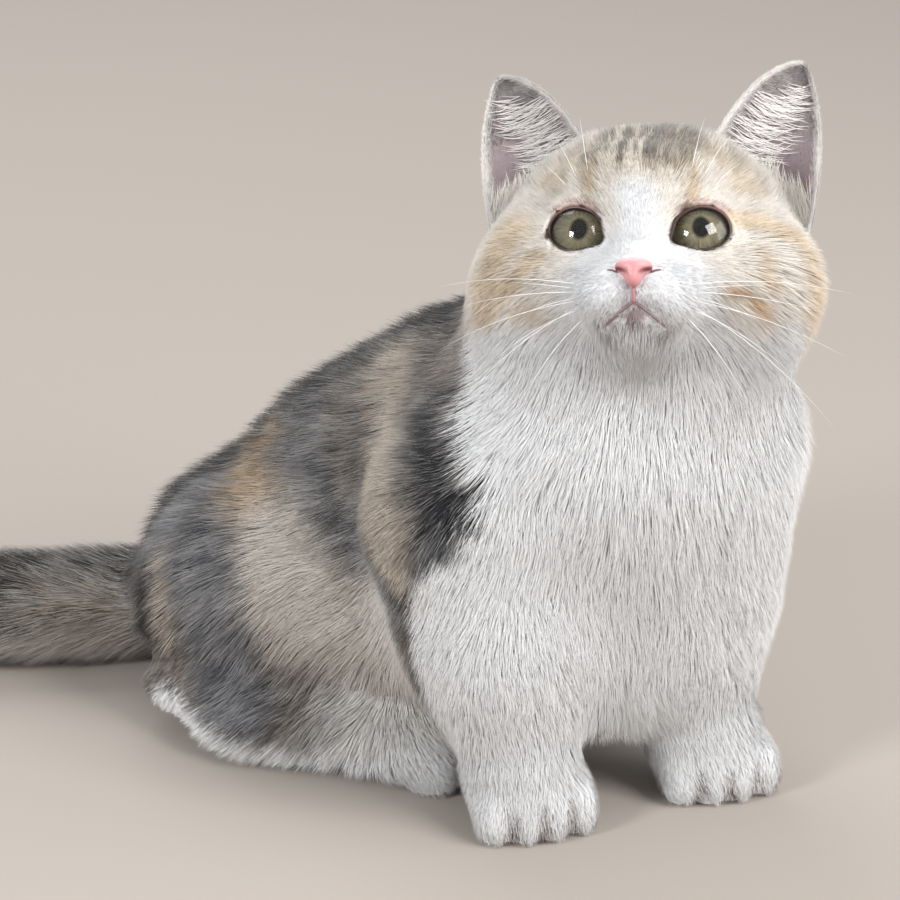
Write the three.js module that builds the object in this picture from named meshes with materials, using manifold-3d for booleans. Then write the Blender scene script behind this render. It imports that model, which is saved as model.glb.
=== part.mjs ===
// A munchkin kitten sitting on the floor, life size, in millimetres, +Z up.
// +X runs from the tail to the chest and +Y to the kitten's left. The surface is the outside of the coat.
// The body is one smooth field of rounded forms. Each named part is a capsule whose skin is pushed out
// to that field, and neighbours are cut back to a thin seam.
import * as THREE from "three";
import { mergeVertices } from "three/addons/utils/BufferGeometryUtils.js";
import Module from "manifold-3d";

const wasm = await Module();
wasm.setup();

// Driving sizes
const GAP = 0.3;
const SEAM = 2.5; // how far a part reaches beyond its own form into the blend around it
const DEG = Math.PI / 180;

const HIPS_HEADING = 12 * DEG;
const CHEST_HEADING = -12 * DEG;
const TAIL_ROOT = [-158, -5, 20];

const HEAD = { at: [6, 12.4, 142], heading: -58 * DEG, pitch: 33 * DEG, roll: 3 * DEG };
const EYE = { radius: 9.4, forward: 25, side: 13.9, up: 3 };
const EAR = { width: 33, depth: 10, wall: 2.2, tipRise: { right: 56, left: 60 } };

const FORELEG = { shoulder: [-24, -27, 80], elbow: [-14, -24, 50], wrist: [-7, -23.5, 24], radius: 18 };
const FOREPAW = { at: [-5, -21, 10.4], heading: -32 * DEG, length: 15, width: 15, height: 11.5 };
const HINDPAW = { heel: [-84, -34, 12.5], toe: [-46, -17, 11], heading: 24 * DEG, width: 12.5 };

const vector = ([x, y, z]) => new THREE.Vector3(x, y, z);

// Rotation that first rolls, then lifts the nose by pitch, then turns to a heading
function turned(heading, pitch = 0, roll = 0) {
  return new THREE.Quaternion().setFromEuler(new THREE.Euler(roll, -pitch, heading, "ZYX"));
}

// Fields: each takes a point and gives about its distance to a form, negative inside
function ellipsoid(centre, radii, heading = 0, pitch = 0, roll = 0) {
  const c = vector(centre);
  const r = vector(radii);
  const back = turned(heading, pitch, roll).invert();
  const q = new THREE.Vector3();
  return (p) => {
    q.copy(p).sub(c).applyQuaternion(back);
    const a = Math.hypot(q.x / r.x, q.y / r.y, q.z / r.z);
    const b = Math.hypot(q.x / r.x ** 2, q.y / r.y ** 2, q.z / r.z ** 2);
    return b < 1e-9 ? -Math.min(r.x, r.y, r.z) : (a * (a - 1)) / b;
  };
}

function rod(from, to, radiusFrom, radiusTo) {
  const a = vector(from);
  const along = vector(to).sub(a);
  const q = new THREE.Vector3();
  return (p) => {
    q.copy(p).sub(a);
    const t = THREE.MathUtils.clamp(q.dot(along) / along.lengthSq(), 0, 1);
    return q.addScaledVector(along, -t).length() - THREE.MathUtils.lerp(radiusFrom, radiusTo, t);
  };
}

function softMin(a, b, k) {
  const h = Math.max(k - Math.abs(a - b), 0) / k;
  return Math.min(a, b) - (h * h * k) / 4;
}

const blend = (k, ...fields) => (p) => fields.reduce((d, f) => softMin(d, f(p), k), 1e6);
const grown = (field, by) => (p) => field(p) - by;
const within = (field, own) => (p) => Math.max(field(p), own(p) - SEAM);

// A point given forward, left and up of an origin on the floor that faces a heading
function place([x, y], heading, [forward, left, up]) {
  const c = Math.cos(heading);
  const s = Math.sin(heading);
  return [x + forward * c - left * s, y + forward * s + left * c, up];
}

// Body forms
const hips = (forward, left, up) => place(TAIL_ROOT, HIPS_HEADING, [forward, left, up]);
const CHEST_AT = [-5.5, 18];
const chestAt = (forward, left, up) => place(CHEST_AT, CHEST_HEADING, [forward, left, up]);

const rumpForm = ellipsoid(hips(40, 0, 32), [36, 37, 36], HIPS_HEADING, 22 * DEG);
const loinForm = ellipsoid([-77, 11, 53], [45, 39, 49], 6 * DEG, 28 * DEG);
const ribForm = ellipsoid([-43, 15, 74], [42, 43, 50], 0, 24 * DEG);
const chestForm = ellipsoid(chestAt(-1, 0, 78), [38, 47, 44], CHEST_HEADING);
const ruffForm = ellipsoid(chestAt(6, 0, 104), [37, 49, 34], CHEST_HEADING);
const bellyForm = ellipsoid([-52, 10, 40], [62, 36, 33], 4 * DEG);
const neckForm = rod([-31, 17, 96], [-2, 15, 126], 34, 35);
const trunkForm = blend(12, rumpForm, loinForm, ribForm, chestForm, ruffForm, bellyForm);

function thighForm(side) {
  return blend(
    10,
    ellipsoid(hips(53, 30 * side, 33), [35, 23, 35], HIPS_HEADING, 12 * DEG, 8 * DEG * side),
    ellipsoid(hips(50, 35 * side, 12), [31, 19, 12.5], HIPS_HEADING),
  );
}
const thighs = { right: thighForm(-1), left: thighForm(1) };

const sides = { right: -1, left: 1 };
// The right legs are where the photograph shows them, and the left ones mirror them across the middle
const foreAt = (point, side) => (side < 0 ? point : mirrorFore(point));
function mirrorFore([x, y, z]) {
  return [x + 21, y + 50, z];
}
function mirrorHind(point) {
  const c = Math.cos(HIPS_HEADING);
  const s = Math.sin(HIPS_HEADING);
  const dx = point[0] - TAIL_ROOT[0];
  const dy = point[1] - TAIL_ROOT[1];
  const forward = dx * c + dy * s;
  const left = -dx * s + dy * c;
  return hips(forward, -left, point[2]);
}

function legForm(side) {
  const { shoulder, elbow, wrist, radius } = FORELEG;
  const at = (p) => foreAt(p, side);
  return blend(
    14,
    rod(at(shoulder), at(elbow), radius + 5, radius + 2),
    rod(at(elbow), at(wrist), radius + 1, radius - 2),
  );
}
const forelegs = { right: legForm(-1), left: legForm(1) };

function pawForm(centre, heading, length, width, height) {
  const pad = ellipsoid(centre, [length, width, height], heading);
  const toes = [-1.5, -0.5, 0.5, 1.5].map((n) => {
    const forward = length * (Math.abs(n) > 1 ? 0.42 : 0.62);
    const [x, y] = place(centre, heading, [forward, n * width * 0.5, 0]);
    return ellipsoid([x, y, height * 0.62], [length * 0.5, width * 0.3, height * 0.66], heading + n * 0.12);
  });
  return blend(2.2, pad, ...toes);
}
function forepawForm(side) {
  const { at, heading, length, width, height } = FOREPAW;
  return pawForm(foreAt(at, side), heading, length, width, height);
}
const forepaws = { right: forepawForm(-1), left: forepawForm(1) };

function hindpawForm(side) {
  const { heel, toe, heading, width } = HINDPAW;
  const at = (p) => (side < 0 ? p : mirrorHind(p));
  const facing = side < 0 ? heading : 2 * HIPS_HEADING - heading;
  return blend(8, rod(at(heel), at(toe), width, width - 1), pawForm(at(toe), facing, 14, width + 1, 11));
}
const hindpaws = { right: hindpawForm(-1), left: hindpawForm(1) };

const tailCurve = new THREE.CatmullRomCurve3(
  [
    [-140, -4, 24],
    [-158, -8, 17.5],
    [-176, -24, 15.5],
    [-200, -46, 15],
    [-232, -66, 14.5],
    [-268, -80, 14],
    [-292, -86, 14],
  ].map(vector),
);
const tailRadius = (t) => 16.5 * (1 - 0.45 * t ** 4) + 1.5 * Math.sin(Math.PI * t);
const tailBeads = 28;
const tailForm = (() => {
  const parts = Array.from({ length: tailBeads }, (_, i) => {
    const [a, b] = [i / tailBeads, (i + 1) / tailBeads];
    const ends = [tailCurve.getPoint(a), tailCurve.getPoint(b)].map((p) => p.toArray());
    return rod(...ends, tailRadius(a), tailRadius(b));
  });
  return (p) => parts.reduce((d, f) => Math.min(d, f(p)), 1e6);
})();

const bodyField = blend(
  9,
  blend(14, trunkForm, neckForm, thighs.right, thighs.left, forelegs.right, forelegs.left),
  blend(6, forepaws.right, forepaws.left, hindpaws.right, hindpaws.left),
  tailForm,
);

// Head forms, in the head's own frame: x to the face, y to its left, z up
const pair = (make) => [make(1), make(-1)];
const headField = blend(
  7,
  blend(
    10,
    ellipsoid([-7, 0, 8], [37, 36, 32.5]),
    ellipsoid([6, 0, -1], [32, 39, 22]),
    ...pair((s) => ellipsoid([5, 23 * s, -5], [24, 19, 17])),
  ),
  ellipsoid([22, 0, 14], [17, 22, 14]),
  rod([27, 0, 12], [37, 0, -6], 9, 7.5),
  ...pair((s) => ellipsoid([32.5, 7 * s, -14.5], [12, 9.5, 8.5])),
  ellipsoid([29, 0, -21.5], [11, 9, 6.5]),
);
const lidField = (side) =>
  ellipsoid([EYE.forward, EYE.side * side, EYE.up], [EYE.radius + 1.3, EYE.radius + 1.3, EYE.radius + 1.3]);
const faceField = blend(3, headField, lidField(1), lidField(-1));

// A closed mesh: a capsule laid along a curve, each of its points moved out as far as reach says.
// A crowd above 1 gathers the rings of its front cap towards the pole.
function wrap(curve, reach, { sides: around = 24, rings = 12, caps = 6, crowd = 1 } = {}) {
  const capsule = new THREE.CapsuleGeometry(1, 4, caps, around, rings);
  capsule.deleteAttribute("normal");
  capsule.deleteAttribute("uv");
  const geometry = mergeVertices(capsule, 1e-5);
  const position = geometry.getAttribute("position");
  const up = new THREE.Vector3(0, 0, 1);
  for (let i = 0; i < position.count; i++) {
    const axis = THREE.MathUtils.clamp(position.getY(i), -2, 2);
    const round = new THREE.Vector3(position.getX(i), position.getY(i) - axis, position.getZ(i));
    const flat = Math.hypot(round.x, round.z);
    if (round.y > 0 && crowd !== 1 && flat > 1e-9) {
      const turn = (Math.PI / 2) * (Math.atan2(flat, round.y) / (Math.PI / 2)) ** crowd;
      round.set((round.x * Math.sin(turn)) / flat, Math.cos(turn), (round.z * Math.sin(turn)) / flat);
    }
    const t = axis / 4 + 0.5;
    const origin = curve.getPoint(t);
    const forward = curve.getTangent(t);
    const left = new THREE.Vector3().crossVectors(up, forward).normalize();
    const top = new THREE.Vector3().crossVectors(forward, left);
    const direction = new THREE.Vector3()
      .addScaledVector(top, round.x)
      .addScaledVector(forward, round.y)
      .addScaledVector(left, round.z)
      .normalize();
    const p = origin.addScaledVector(direction, reach(origin, direction, t));
    position.setXYZ(i, p.x, p.y, p.z);
  }
  return dropFlat(geometry);
}

// How far a field's surface is from a point inside it
function outTo(field, origin, direction) {
  const p = new THREE.Vector3();
  let far = 0;
  for (let step = 0; step < 80; step++) {
    const d = field(p.copy(origin).addScaledVector(direction, far));
    if (d > -1e-3) break;
    far += Math.max(-d * 0.7, 0.02);
  }
  return far;
}
const drape = (curve, field, detail) => wrap(curve, (from, direction) => outTo(field, from, direction), detail);
const tube = (curve, radius, detail) => wrap(curve, () => radius, detail);

// The geometry without the triangles that have lost a corner
function dropFlat(geometry) {
  const from = geometry.getIndex().array;
  const kept = [];
  for (let i = 0; i < from.length; i += 3) {
    const [a, b, c] = [from[i], from[i + 1], from[i + 2]];
    if (a !== b && b !== c && c !== a) kept.push(a, b, c);
  }
  geometry.setIndex(kept);
  return geometry;
}

const line = (...points) => new THREE.CatmullRomCurve3(points.map(vector));

function solid(geometry) {
  const g = geometry.clone();
  g.deleteAttribute("normal");
  g.deleteAttribute("uv");
  const merged = dropFlat(mergeVertices(g, 1e-4));
  const made = new wasm.Manifold(
    new wasm.Mesh({
      numProp: 3,
      vertProperties: new Float32Array(merged.getAttribute("position").array),
      triVerts: new Uint32Array(merged.getIndex().array),
    }),
  );
  return made;
}

const largest = (shape) => shape.decompose().sort((a, b) => b.volume() - a.volume())[0];

function geometryOf(shape) {
  const mesh = shape.getMesh();
  const count = mesh.vertProperties.length / mesh.numProp;
  const xyz = new Float32Array(count * 3);
  for (let i = 0; i < count; i++) {
    xyz.set(mesh.vertProperties.subarray(i * mesh.numProp, i * mesh.numProp + 3), i * 3);
  }
  const geometry = new THREE.BufferGeometry();
  geometry.setAttribute("position", new THREE.BufferAttribute(xyz, 3));
  geometry.setIndex(new THREE.BufferAttribute(mesh.triVerts, 1));
  geometry.computeVertexNormals();
  return geometry;
}

// Longer hair: flat tapered locks that root in the coat and lie along it.
// A brush sets one lock for each direction out of a point inside the form.
let seed = 20211;
function chance(from, to) {
  seed = (Math.imul(seed, 1664525) + 1013904223) >>> 0;
  return from + ((to - from) * seed) / 2 ** 32;
}

function slopeOf(field, p) {
  const step = 0.4;
  const along = (x, y, z) => field(new THREE.Vector3(x, y, z).multiplyScalar(step).add(p));
  return new THREE.Vector3(
    along(1, 0, 0) - along(-1, 0, 0),
    along(0, 1, 0) - along(0, -1, 0),
    along(0, 0, 1) - along(0, 0, -1),
  ).normalize();
}

function lock({ root, out, lie, length, width, lift }, extra) {
  const across = new THREE.Vector3().crossVectors(out, lie).normalize();
  const stations = [
    [0, 0.75, 1],
    [0.42, 1, 0.8],
    [0.8, 0.5, 0.45],
  ];
  const points = [];
  const index = [];
  const onPath = (s) => {
    const rise = -3 + (3 + lift) * s ** 0.7;
    return root.clone().addScaledVector(lie, s * (length + extra)).addScaledVector(out, rise);
  };
  for (const [s, wide, thick] of stations) {
    const p = onPath(s);
    const w = (width / 2) * wide + extra;
    const h = width * 0.2 * thick + 0.35 + extra;
    for (const [a, b] of [[w, 0], [0, h], [-w, 0], [0, -h]]) {
      const q = p.clone().addScaledVector(across, a).addScaledVector(out, b);
      points.push(q.x, q.y, q.z);
    }
  }
  const tip = onPath(1);
  points.push(tip.x, tip.y, tip.z);
  for (const ring of [0, 4]) {
    for (let i = 0; i < 4; i++) {
      const [a, b] = [ring + i, ring + ((i + 1) % 4)];
      index.push(a, b, b + 4, a, b + 4, a + 4);
    }
  }
  for (let i = 0; i < 4; i++) index.push(8 + i, 8 + ((i + 1) % 4), 12);
  index.push(0, 2, 1, 0, 3, 2);
  const geometry = new THREE.BufferGeometry();
  geometry.setAttribute("position", new THREE.Float32BufferAttribute(points, 3));
  geometry.setIndex(index);
  return facingOut(geometry);
}

function brush(field, from, directions, flow, { length, width, lift = 0.5 }) {
  return directions.map((direction) => {
    const origin = vector(from);
    const towards = vector(direction).normalize();
    const root = origin.clone().addScaledVector(towards, outTo(field, origin, towards));
    const out = slopeOf(field, root);
    const lie = vector(typeof flow === "function" ? flow(root, towards) : flow).normalize();
    lie.addScaledVector(out, -lie.dot(out)).normalize();
    lie.applyAxisAngle(out, chance(-0.16, 0.16));
    return { root, out, lie, length: length * chance(0.85, 1.15), width: width * chance(0.9, 1.1), lift };
  });
}

// Directions in a fan from one bearing to another, all at one slope
function fan(from, to, count, slope) {
  return Array.from({ length: count }, (_, i) => {
    const bearing = (from + ((to - from) * i) / Math.max(count - 1, 1)) * DEG;
    return [Math.cos(bearing), Math.sin(bearing), slope];
  });
}

const covered = (shape, locks, extra = 0) => locks.reduce((all, one) => all.add(lock(one, extra)), shape);

const kitten = new THREE.Group();
const headGroup = new THREE.Group();
headGroup.position.copy(vector(HEAD.at));
headGroup.quaternion.copy(turned(HEAD.heading, HEAD.pitch, HEAD.roll));
headGroup.updateMatrix();
kitten.add(headGroup);

const COATS = {
  white: { color: "#e9e6e1", roughness: 0.9 },
  cream: { color: "#cdb79c", roughness: 0.9 },
  grey: { color: "#6f6a66", roughness: 0.9 },
  iris: { color: "#6d6c4c", roughness: 0.1 },
  leather: { color: "#d98a8c", roughness: 0.5 },
};
function addNode(parent, name, shape, coat) {
  const mesh = new THREE.Mesh(geometryOf(largest(shape)), new THREE.MeshStandardMaterial(COATS[coat]));
  mesh.name = name;
  parent.add(mesh);
}

// Head parts
const headLine = line([-6, 0, 1], [12, 0, -3]);
const skull = solid(drape(headLine, faceField, { sides: 40, rings: 2, caps: 13, crowd: 1.25 }));
// The pockets that neighbours rest against need fewer facets than the face itself
const skullPocket = (sides, extra) =>
  drape(headLine, grown(faceField, GAP + extra), { sides, rings: 2, caps: Math.round(sides / 4) });

function eyeball(side, extra = 0, around = 16) {
  const ball = new THREE.SphereGeometry(EYE.radius + extra, around, around * 0.625);
  ball.rotateZ(-Math.PI / 2);
  return ball.translate(EYE.forward, EYE.side * side, EYE.up);
}
function lidOpening(side) {
  const cone = new THREE.CylinderGeometry(8.4, 5.6, 14, 24);
  cone.rotateZ(-Math.PI / 2);
  cone.scale(1, 1, 0.86);
  cone.rotateX(8 * DEG * side);
  cone.rotateZ(14 * DEG * side);
  return cone.translate(EYE.forward + 6, EYE.side * side + 1.2 * side, EYE.up);
}
let head = skull;
for (const side of [1, -1]) {
  head = head.subtract(solid(eyeball(side, GAP + 0.25, 13))).subtract(solid(lidOpening(side)));
}

// Ear: a cupped sheet from its base on the head to a rounded tip
function earGeometry(name, side, extra = 0) {
  const across = 10;
  const upward = 9;
  const base = new THREE.Vector3(-9, 27 * side, 20);
  const tip = new THREE.Vector3(-9, 41 * side, EAR.tipRise[name]);
  const axis = tip.clone().sub(base);
  const toSide = new THREE.Vector3(-0.25, 0.8 * side, -0.62).normalize();
  const inward = new THREE.Vector3().crossVectors(toSide, axis).normalize();
  if (inward.x > 0) inward.negate();
  const points = [];
  for (const face of [0, 1]) {
    for (let j = 0; j <= upward; j++) {
      const v = 1 - (1 - j / upward) ** 1.3;
      const slim = (1 - v ** 1.6) ** 0.7;
      const half = (EAR.width / 2) * slim + 0.5 + extra;
      for (let i = 0; i <= across; i++) {
        const u = (2 * i) / across - 1;
        const cup = EAR.depth * (1 - u * u) * slim * (1 - 0.3 * v);
        const wall = (EAR.wall * (1 - 0.45 * Math.abs(u)) + 2 * extra) * face - extra;
        const p = base
          .clone()
          .addScaledVector(axis, v)
          .addScaledVector(toSide, u * half)
          .addScaledVector(inward, cup + wall);
        points.push(p.x, p.y, p.z);
      }
    }
  }
  const row = across + 1;
  const sheet = row * (upward + 1);
  const index = [];
  const quad = (a, b, c, d) => index.push(a, b, c, a, c, d);
  for (let j = 0; j < upward; j++) {
    for (let i = 0; i < across; i++) {
      const a = j * row + i;
      quad(a, a + row, a + row + 1, a + 1);
      quad(a + sheet, a + 1 + sheet, a + row + 1 + sheet, a + row + sheet);
    }
  }
  const edge = [];
  for (let i = 0; i < across; i++) edge.push(i);
  for (let j = 0; j < upward; j++) edge.push(j * row + across);
  for (let i = across; i > 0; i--) edge.push(upward * row + i);
  for (let j = upward; j > 0; j--) edge.push(j * row);
  edge.forEach((a, n) => {
    const b = edge[(n + 1) % edge.length];
    quad(a, b, b + sheet, a + sheet);
  });
  const geometry = new THREE.BufferGeometry();
  geometry.setAttribute("position", new THREE.Float32BufferAttribute(points, 3));
  geometry.setIndex(index);
  return geometry;
}

function facingOut(geometry) {
  const made = solid(geometry);
  if (made.volume() > 0) return made;
  const index = geometry.getIndex().array;
  for (let i = 0; i < index.length; i += 3) {
    [index[i + 1], index[i + 2]] = [index[i + 2], index[i + 1]];
  }
  return solid(geometry);
}

const noseField = blend(
  2,
  ellipsoid([42.5, 0, -9.2], [4, 5.4, 3]),
  ellipsoid([43, 0, -12.2], [3.2, 2.6, 3.4]),
);
const noseLine = line([41.5, 0, -10.2], [42, 0, -10.2]);
const NOSE_DETAIL = { sides: 16, rings: 1, caps: 5 };
let nose = solid(drape(noseLine, noseField, NOSE_DETAIL));
head = head.subtract(solid(drape(noseLine, grown(noseField, GAP), NOSE_DETAIL)));

// Nostrils: each a small pit that turns out and up towards a slit at the side of the nose
for (const side of [1, -1]) {
  const pit = new THREE.QuadraticBezierCurve3(
    ...[
      [46.2, 1.9, -11.3],
      [45.8, 3.9, -12.1],
      [44.2, 5.6, -10.3],
    ].map(([x, y, z]) => vector([x, y * side, z])),
  );
  nose = nose.subtract(solid(tube(pit, 0.75, { sides: 6, rings: 3, caps: 2 })));
}

// Mouth: a furrow under the nose that parts below it into the line between the lips
const throat = vector([18, 0, -10]);
function furrow(points, radius) {
  const onFace = points.map((point) => {
    const out = vector(point).sub(throat).normalize();
    return throat.clone().addScaledVector(out, outTo(faceField, throat, out));
  });
  const curve = new THREE.CatmullRomCurve3(onFace);
  return solid(tube(curve, radius, { sides: 6, rings: 3 * points.length, caps: 2 }));
}
head = head.subtract(furrow([[44, 0, -15], [44, 0, -17], [43.5, 0, -18.8]], 0.6));
for (const side of [1, -1]) {
  const lip = [[43.5, -0.2, -18.6], [42.7, 2.2, -20.4], [41, 5.4, -22.8], [37, 9.2, -25.6]];
  head = head.subtract(furrow(lip.map(([x, y, z]) => [x, y * side, z]), 0.85));
}

// Cheek locks, swept back and down from the sides of the face
const cheekLocks = pair((side) =>
  brush(
    faceField,
    [0, 0, -4],
    [
      [0.1, side, 0.05],
      [0.25, side, -0.2],
      [-0.1, side, -0.35],
      [0.3, side, -0.55],
      [0, side, -0.75],
      [0.3, side * 0.7, -0.85],
    ],
    [-0.8, side * 0.5, -0.6],
    { length: 14, width: 11 },
  ),
).flat();
head = covered(head, cheekLocks);

for (const [name, side] of Object.entries(sides)) {
  addNode(headGroup, `eye_${name}`, solid(eyeball(side)), "iris");
  const ear = facingOut(earGeometry(name, side)).subtract(solid(skullPocket(26, 0.4)));
  addNode(headGroup, `ear_${name}`, ear, "white");
}
addNode(headGroup, "nose", nose, "leather");
addNode(headGroup, "head", head, "white");

// Body parts
const cheekRoom = covered(solid(skullPocket(24, 0.7)), cheekLocks, GAP);
const headInBody = cheekRoom.transform(headGroup.matrix.toArray());
const earsInBody = Object.entries(sides).map(([name, side]) =>
  facingOut(earGeometry(name, side, GAP).applyMatrix4(headGroup.matrix)),
);
const floor = solid(new THREE.BoxGeometry(900, 900, 100).translate(0, 0, -50));

// All that lies beyond a plane, to the side that it faces
function beyond({ point, facing }, offset = 0) {
  const block = new THREE.BoxGeometry(400, 400, 400).translate(200 + offset, 0, 0);
  const towards = vector(facing).normalize();
  block.applyQuaternion(new THREE.Quaternion().setFromUnitVectors(new THREE.Vector3(1, 0, 0), towards));
  return solid(block.translate(...point));
}

// A part and the slightly larger form that makes room for it in its neighbours, both cut flat at its root
function part(curve, own, detail, root, locks = []) {
  let whole = solid(drape(curve, within(bodyField, own), detail));
  let cutter = solid(drape(curve, grown(within(bodyField, own), GAP), detail));
  if (root) {
    whole = whole.subtract(beyond(root));
    cutter = cutter.subtract(beyond(root, GAP));
  }
  return { whole: covered(whole, locks), cutter: covered(cutter, locks, GAP) };
}

// Locks along the foot of each haunch, which sweep back and out over the floor
function haunchLocks(side) {
  const straight = HIPS_HEADING / DEG;
  const low = fan(straight + side * 132, straight + side * 34, 7, -0.45);
  const high = fan(straight + side * 118, straight + side * 60, 4, -0.05);
  const flow = place([0, 0], HIPS_HEADING, [-0.4, 0.8 * side, -0.75]);
  return brush(thighs[side < 0 ? "right" : "left"], hips(50, 34 * side, 16), [...low, ...high], flow, {
    length: 15,
    width: 13,
    lift: 1,
  });
}

const limbs = [];
for (const [name, side] of Object.entries(sides)) {
  const fore = (p) => foreAt(p, side);
  const hind = (p) => (side < 0 ? p : mirrorHind(p));
  limbs.push([
    `forepaw_${name}`,
    part(line(fore([-12, -24, 9]), fore([-4, -25, 8])), forepaws[name], { sides: 22, rings: 1, caps: 6 }),
  ]);
  limbs.push([
    `foreleg_${name}`,
    part(
      line(fore(FORELEG.shoulder), fore(FORELEG.elbow), fore(FORELEG.wrist)),
      forelegs[name],
      { sides: 16, rings: 5, caps: 4 },
      { point: fore([-14, -24 - 18 * side, 32]), facing: [0, -side * 0.93, 0.37] },
    ),
  ]);
  limbs.push([
    `thigh_${name}`,
    part(
      line(hips(34, 30 * side, 36), hips(64, 30 * side, 36)),
      thighs[name],
      { sides: 18, rings: 3, caps: 4 },
      { point: hips(50, 20 * side, 0), facing: place([0, 0], HIPS_HEADING, [0, -side, 0]) },
      haunchLocks(side),
    ),
  ]);
  limbs.push([
    `hindpaw_${name}`,
    part(line(hind([-82, -31, 10]), hind([-46, -16, 8])), hindpaws[name], { sides: 18, rings: 3, caps: 5 }),
  ]);
}

const TAIL_DETAIL = { sides: 12, rings: 18, caps: 3 };
// Locks that draw the tail out to a tapered brush
const tailEnd = tailCurve.getPoint(0.95);
const tailFlow = tailCurve.getTangent(1).toArray();
const tailLocks = brush(
  tailForm,
  tailEnd.toArray(),
  [[-0.5, 1, 0.1], [-0.5, 0, 1], [-0.5, -1, 0.1]],
  tailFlow,
  { length: 21, width: 14, lift: -5 },
);
const tail = part(
  tailCurve,
  tailForm,
  TAIL_DETAIL,
  { point: [-151, -6, 20], facing: [1, 0.3, 0] },
  tailLocks,
);
const neck = part(
  line([-22, 17, 104], [0, 15, 126]),
  neckForm,
  { sides: 18, rings: 3, caps: 4 },
  { point: [-14, 17, 98], facing: [-0.5, 0, -0.86] },
);
// Locks of the bib, in rows that hang down the chest, and below it a fringe between the forelegs
const breast = chestAt(0, 0, 84);
const bearing = CHEST_HEADING / DEG;
const down = [0.25, 0, -1];
const bib = (from, to, count, slope, flow, size) =>
  brush(trunkForm, breast, fan(bearing + from, bearing + to, count, slope), flow, size);
const chestLocks = [
  ...bib(48, 96, 4, 0.35, down, { length: 16, width: 14 }),
  ...bib(44, 92, 4, -0.1, down, { length: 17, width: 14 }),
  ...bib(-30, 34, 5, -0.85, down, { length: 21, width: 14, lift: 3 }),
  ...bib(-36, 36, 5, -1.5, [0.2, 0, -1], { length: 18, width: 13, lift: 7 }),
];
// Locks along the ridge of the back, swept towards the tail
const backLocks = [0.1, 0.3, 0.5, 0.7, 0.9].flatMap((t, i) => {
  const from = new THREE.Vector3().lerpVectors(vector([-98, 9, 50]), vector([-40, 15, 80]), t);
  const across = i % 2 ? [0.3, -0.3] : [0, 0.55];
  const directions = across.map((y) => [-0.35, y, 1]);
  return brush(trunkForm, from.toArray(), directions, [-1, 0.1, -0.4], { length: 15, width: 12, lift: 0 });
});
const trunk = part(
  line(hips(30, 0, 34), [-80, 11, 55], [-42, 15, 68], chestAt(6, 0, 74)),
  grown(trunkForm, SEAM),
  { sides: 24, rings: 13, caps: 6 },
  null,
  [...chestLocks, ...backLocks],
);

const done = [headInBody, ...earsInBody];
function settle(piece) {
  let shape = piece.whole;
  for (const cutter of done) shape = shape.subtract(cutter);
  done.push(piece.cutter);
  return shape.subtract(floor);
}
for (const [name, piece] of limbs) addNode(kitten, name, settle(piece), "white");

function cutAcross(shape, stations) {
  let left = shape;
  for (const [point, heading, pitch] of stations) {
    const blade = new THREE.BoxGeometry(GAP, 400, 400);
    blade.applyQuaternion(turned(heading, pitch));
    blade.translate(...point);
    left = left.subtract(solid(blade));
  }
  return left
    .decompose()
    .filter((s) => s.volume() > 500)
    .sort((a, b) => a.boundingBox().min[0] - b.boundingBox().min[0]);
}

const tailShape = settle(tail);
const tailCuts = [0.38, 0.7].map((t) => {
  const d = tailCurve.getTangent(t);
  return [tailCurve.getPoint(t).toArray(), Math.atan2(d.y, d.x), 0];
});
cutAcross(tailShape, tailCuts).forEach((s, i) => {
  addNode(kitten, ["tail_tip", "tail_middle", "tail_base"][i], s, "grey");
});
addNode(kitten, "neck", settle(neck), "white");
const trunkShape = settle(trunk);
cutAcross(trunkShape, [
  [[-100, 7, 50], 10 * DEG, 25 * DEG],
  [[-52, 14, 60], 0, 15 * DEG],
]).forEach((s, i) => {
  addNode(kitten, ["rump", "loin", "chest"][i], s, ["grey", "grey", "white"][i]);
});

// The origin is the middle of the floor print's box
const box = new THREE.Box3().setFromObject(kitten, true);
kitten.position.set(-(box.min.x + box.max.x) / 2, -(box.min.y + box.max.y) / 2, -box.min.z);

export default kitten;
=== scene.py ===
import math

import bmesh
import bpy
import numpy as np
from mathutils import Matrix, Vector
from mathutils.kdtree import KDTree


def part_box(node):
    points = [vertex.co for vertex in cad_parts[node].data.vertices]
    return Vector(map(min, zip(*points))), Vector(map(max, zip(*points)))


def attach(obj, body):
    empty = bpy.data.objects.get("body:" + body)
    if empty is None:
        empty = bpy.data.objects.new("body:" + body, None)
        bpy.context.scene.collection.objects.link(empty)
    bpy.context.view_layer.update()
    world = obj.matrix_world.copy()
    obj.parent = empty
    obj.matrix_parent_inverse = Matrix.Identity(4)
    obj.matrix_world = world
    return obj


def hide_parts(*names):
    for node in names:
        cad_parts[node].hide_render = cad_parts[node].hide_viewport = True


# A munchkin kitten sitting with its head raised. Sizes are in millimetres in the kitten's own measure,
# where the chest stands near the origin, and become metres in the frame of the solids at the end.
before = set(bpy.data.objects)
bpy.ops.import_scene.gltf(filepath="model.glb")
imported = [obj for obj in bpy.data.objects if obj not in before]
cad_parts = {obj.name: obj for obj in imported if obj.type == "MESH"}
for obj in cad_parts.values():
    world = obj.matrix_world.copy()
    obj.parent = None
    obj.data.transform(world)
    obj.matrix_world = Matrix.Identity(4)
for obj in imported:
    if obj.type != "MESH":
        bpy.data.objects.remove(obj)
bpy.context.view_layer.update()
DEG = math.pi / 180
dice = np.random.default_rng(814)

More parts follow.
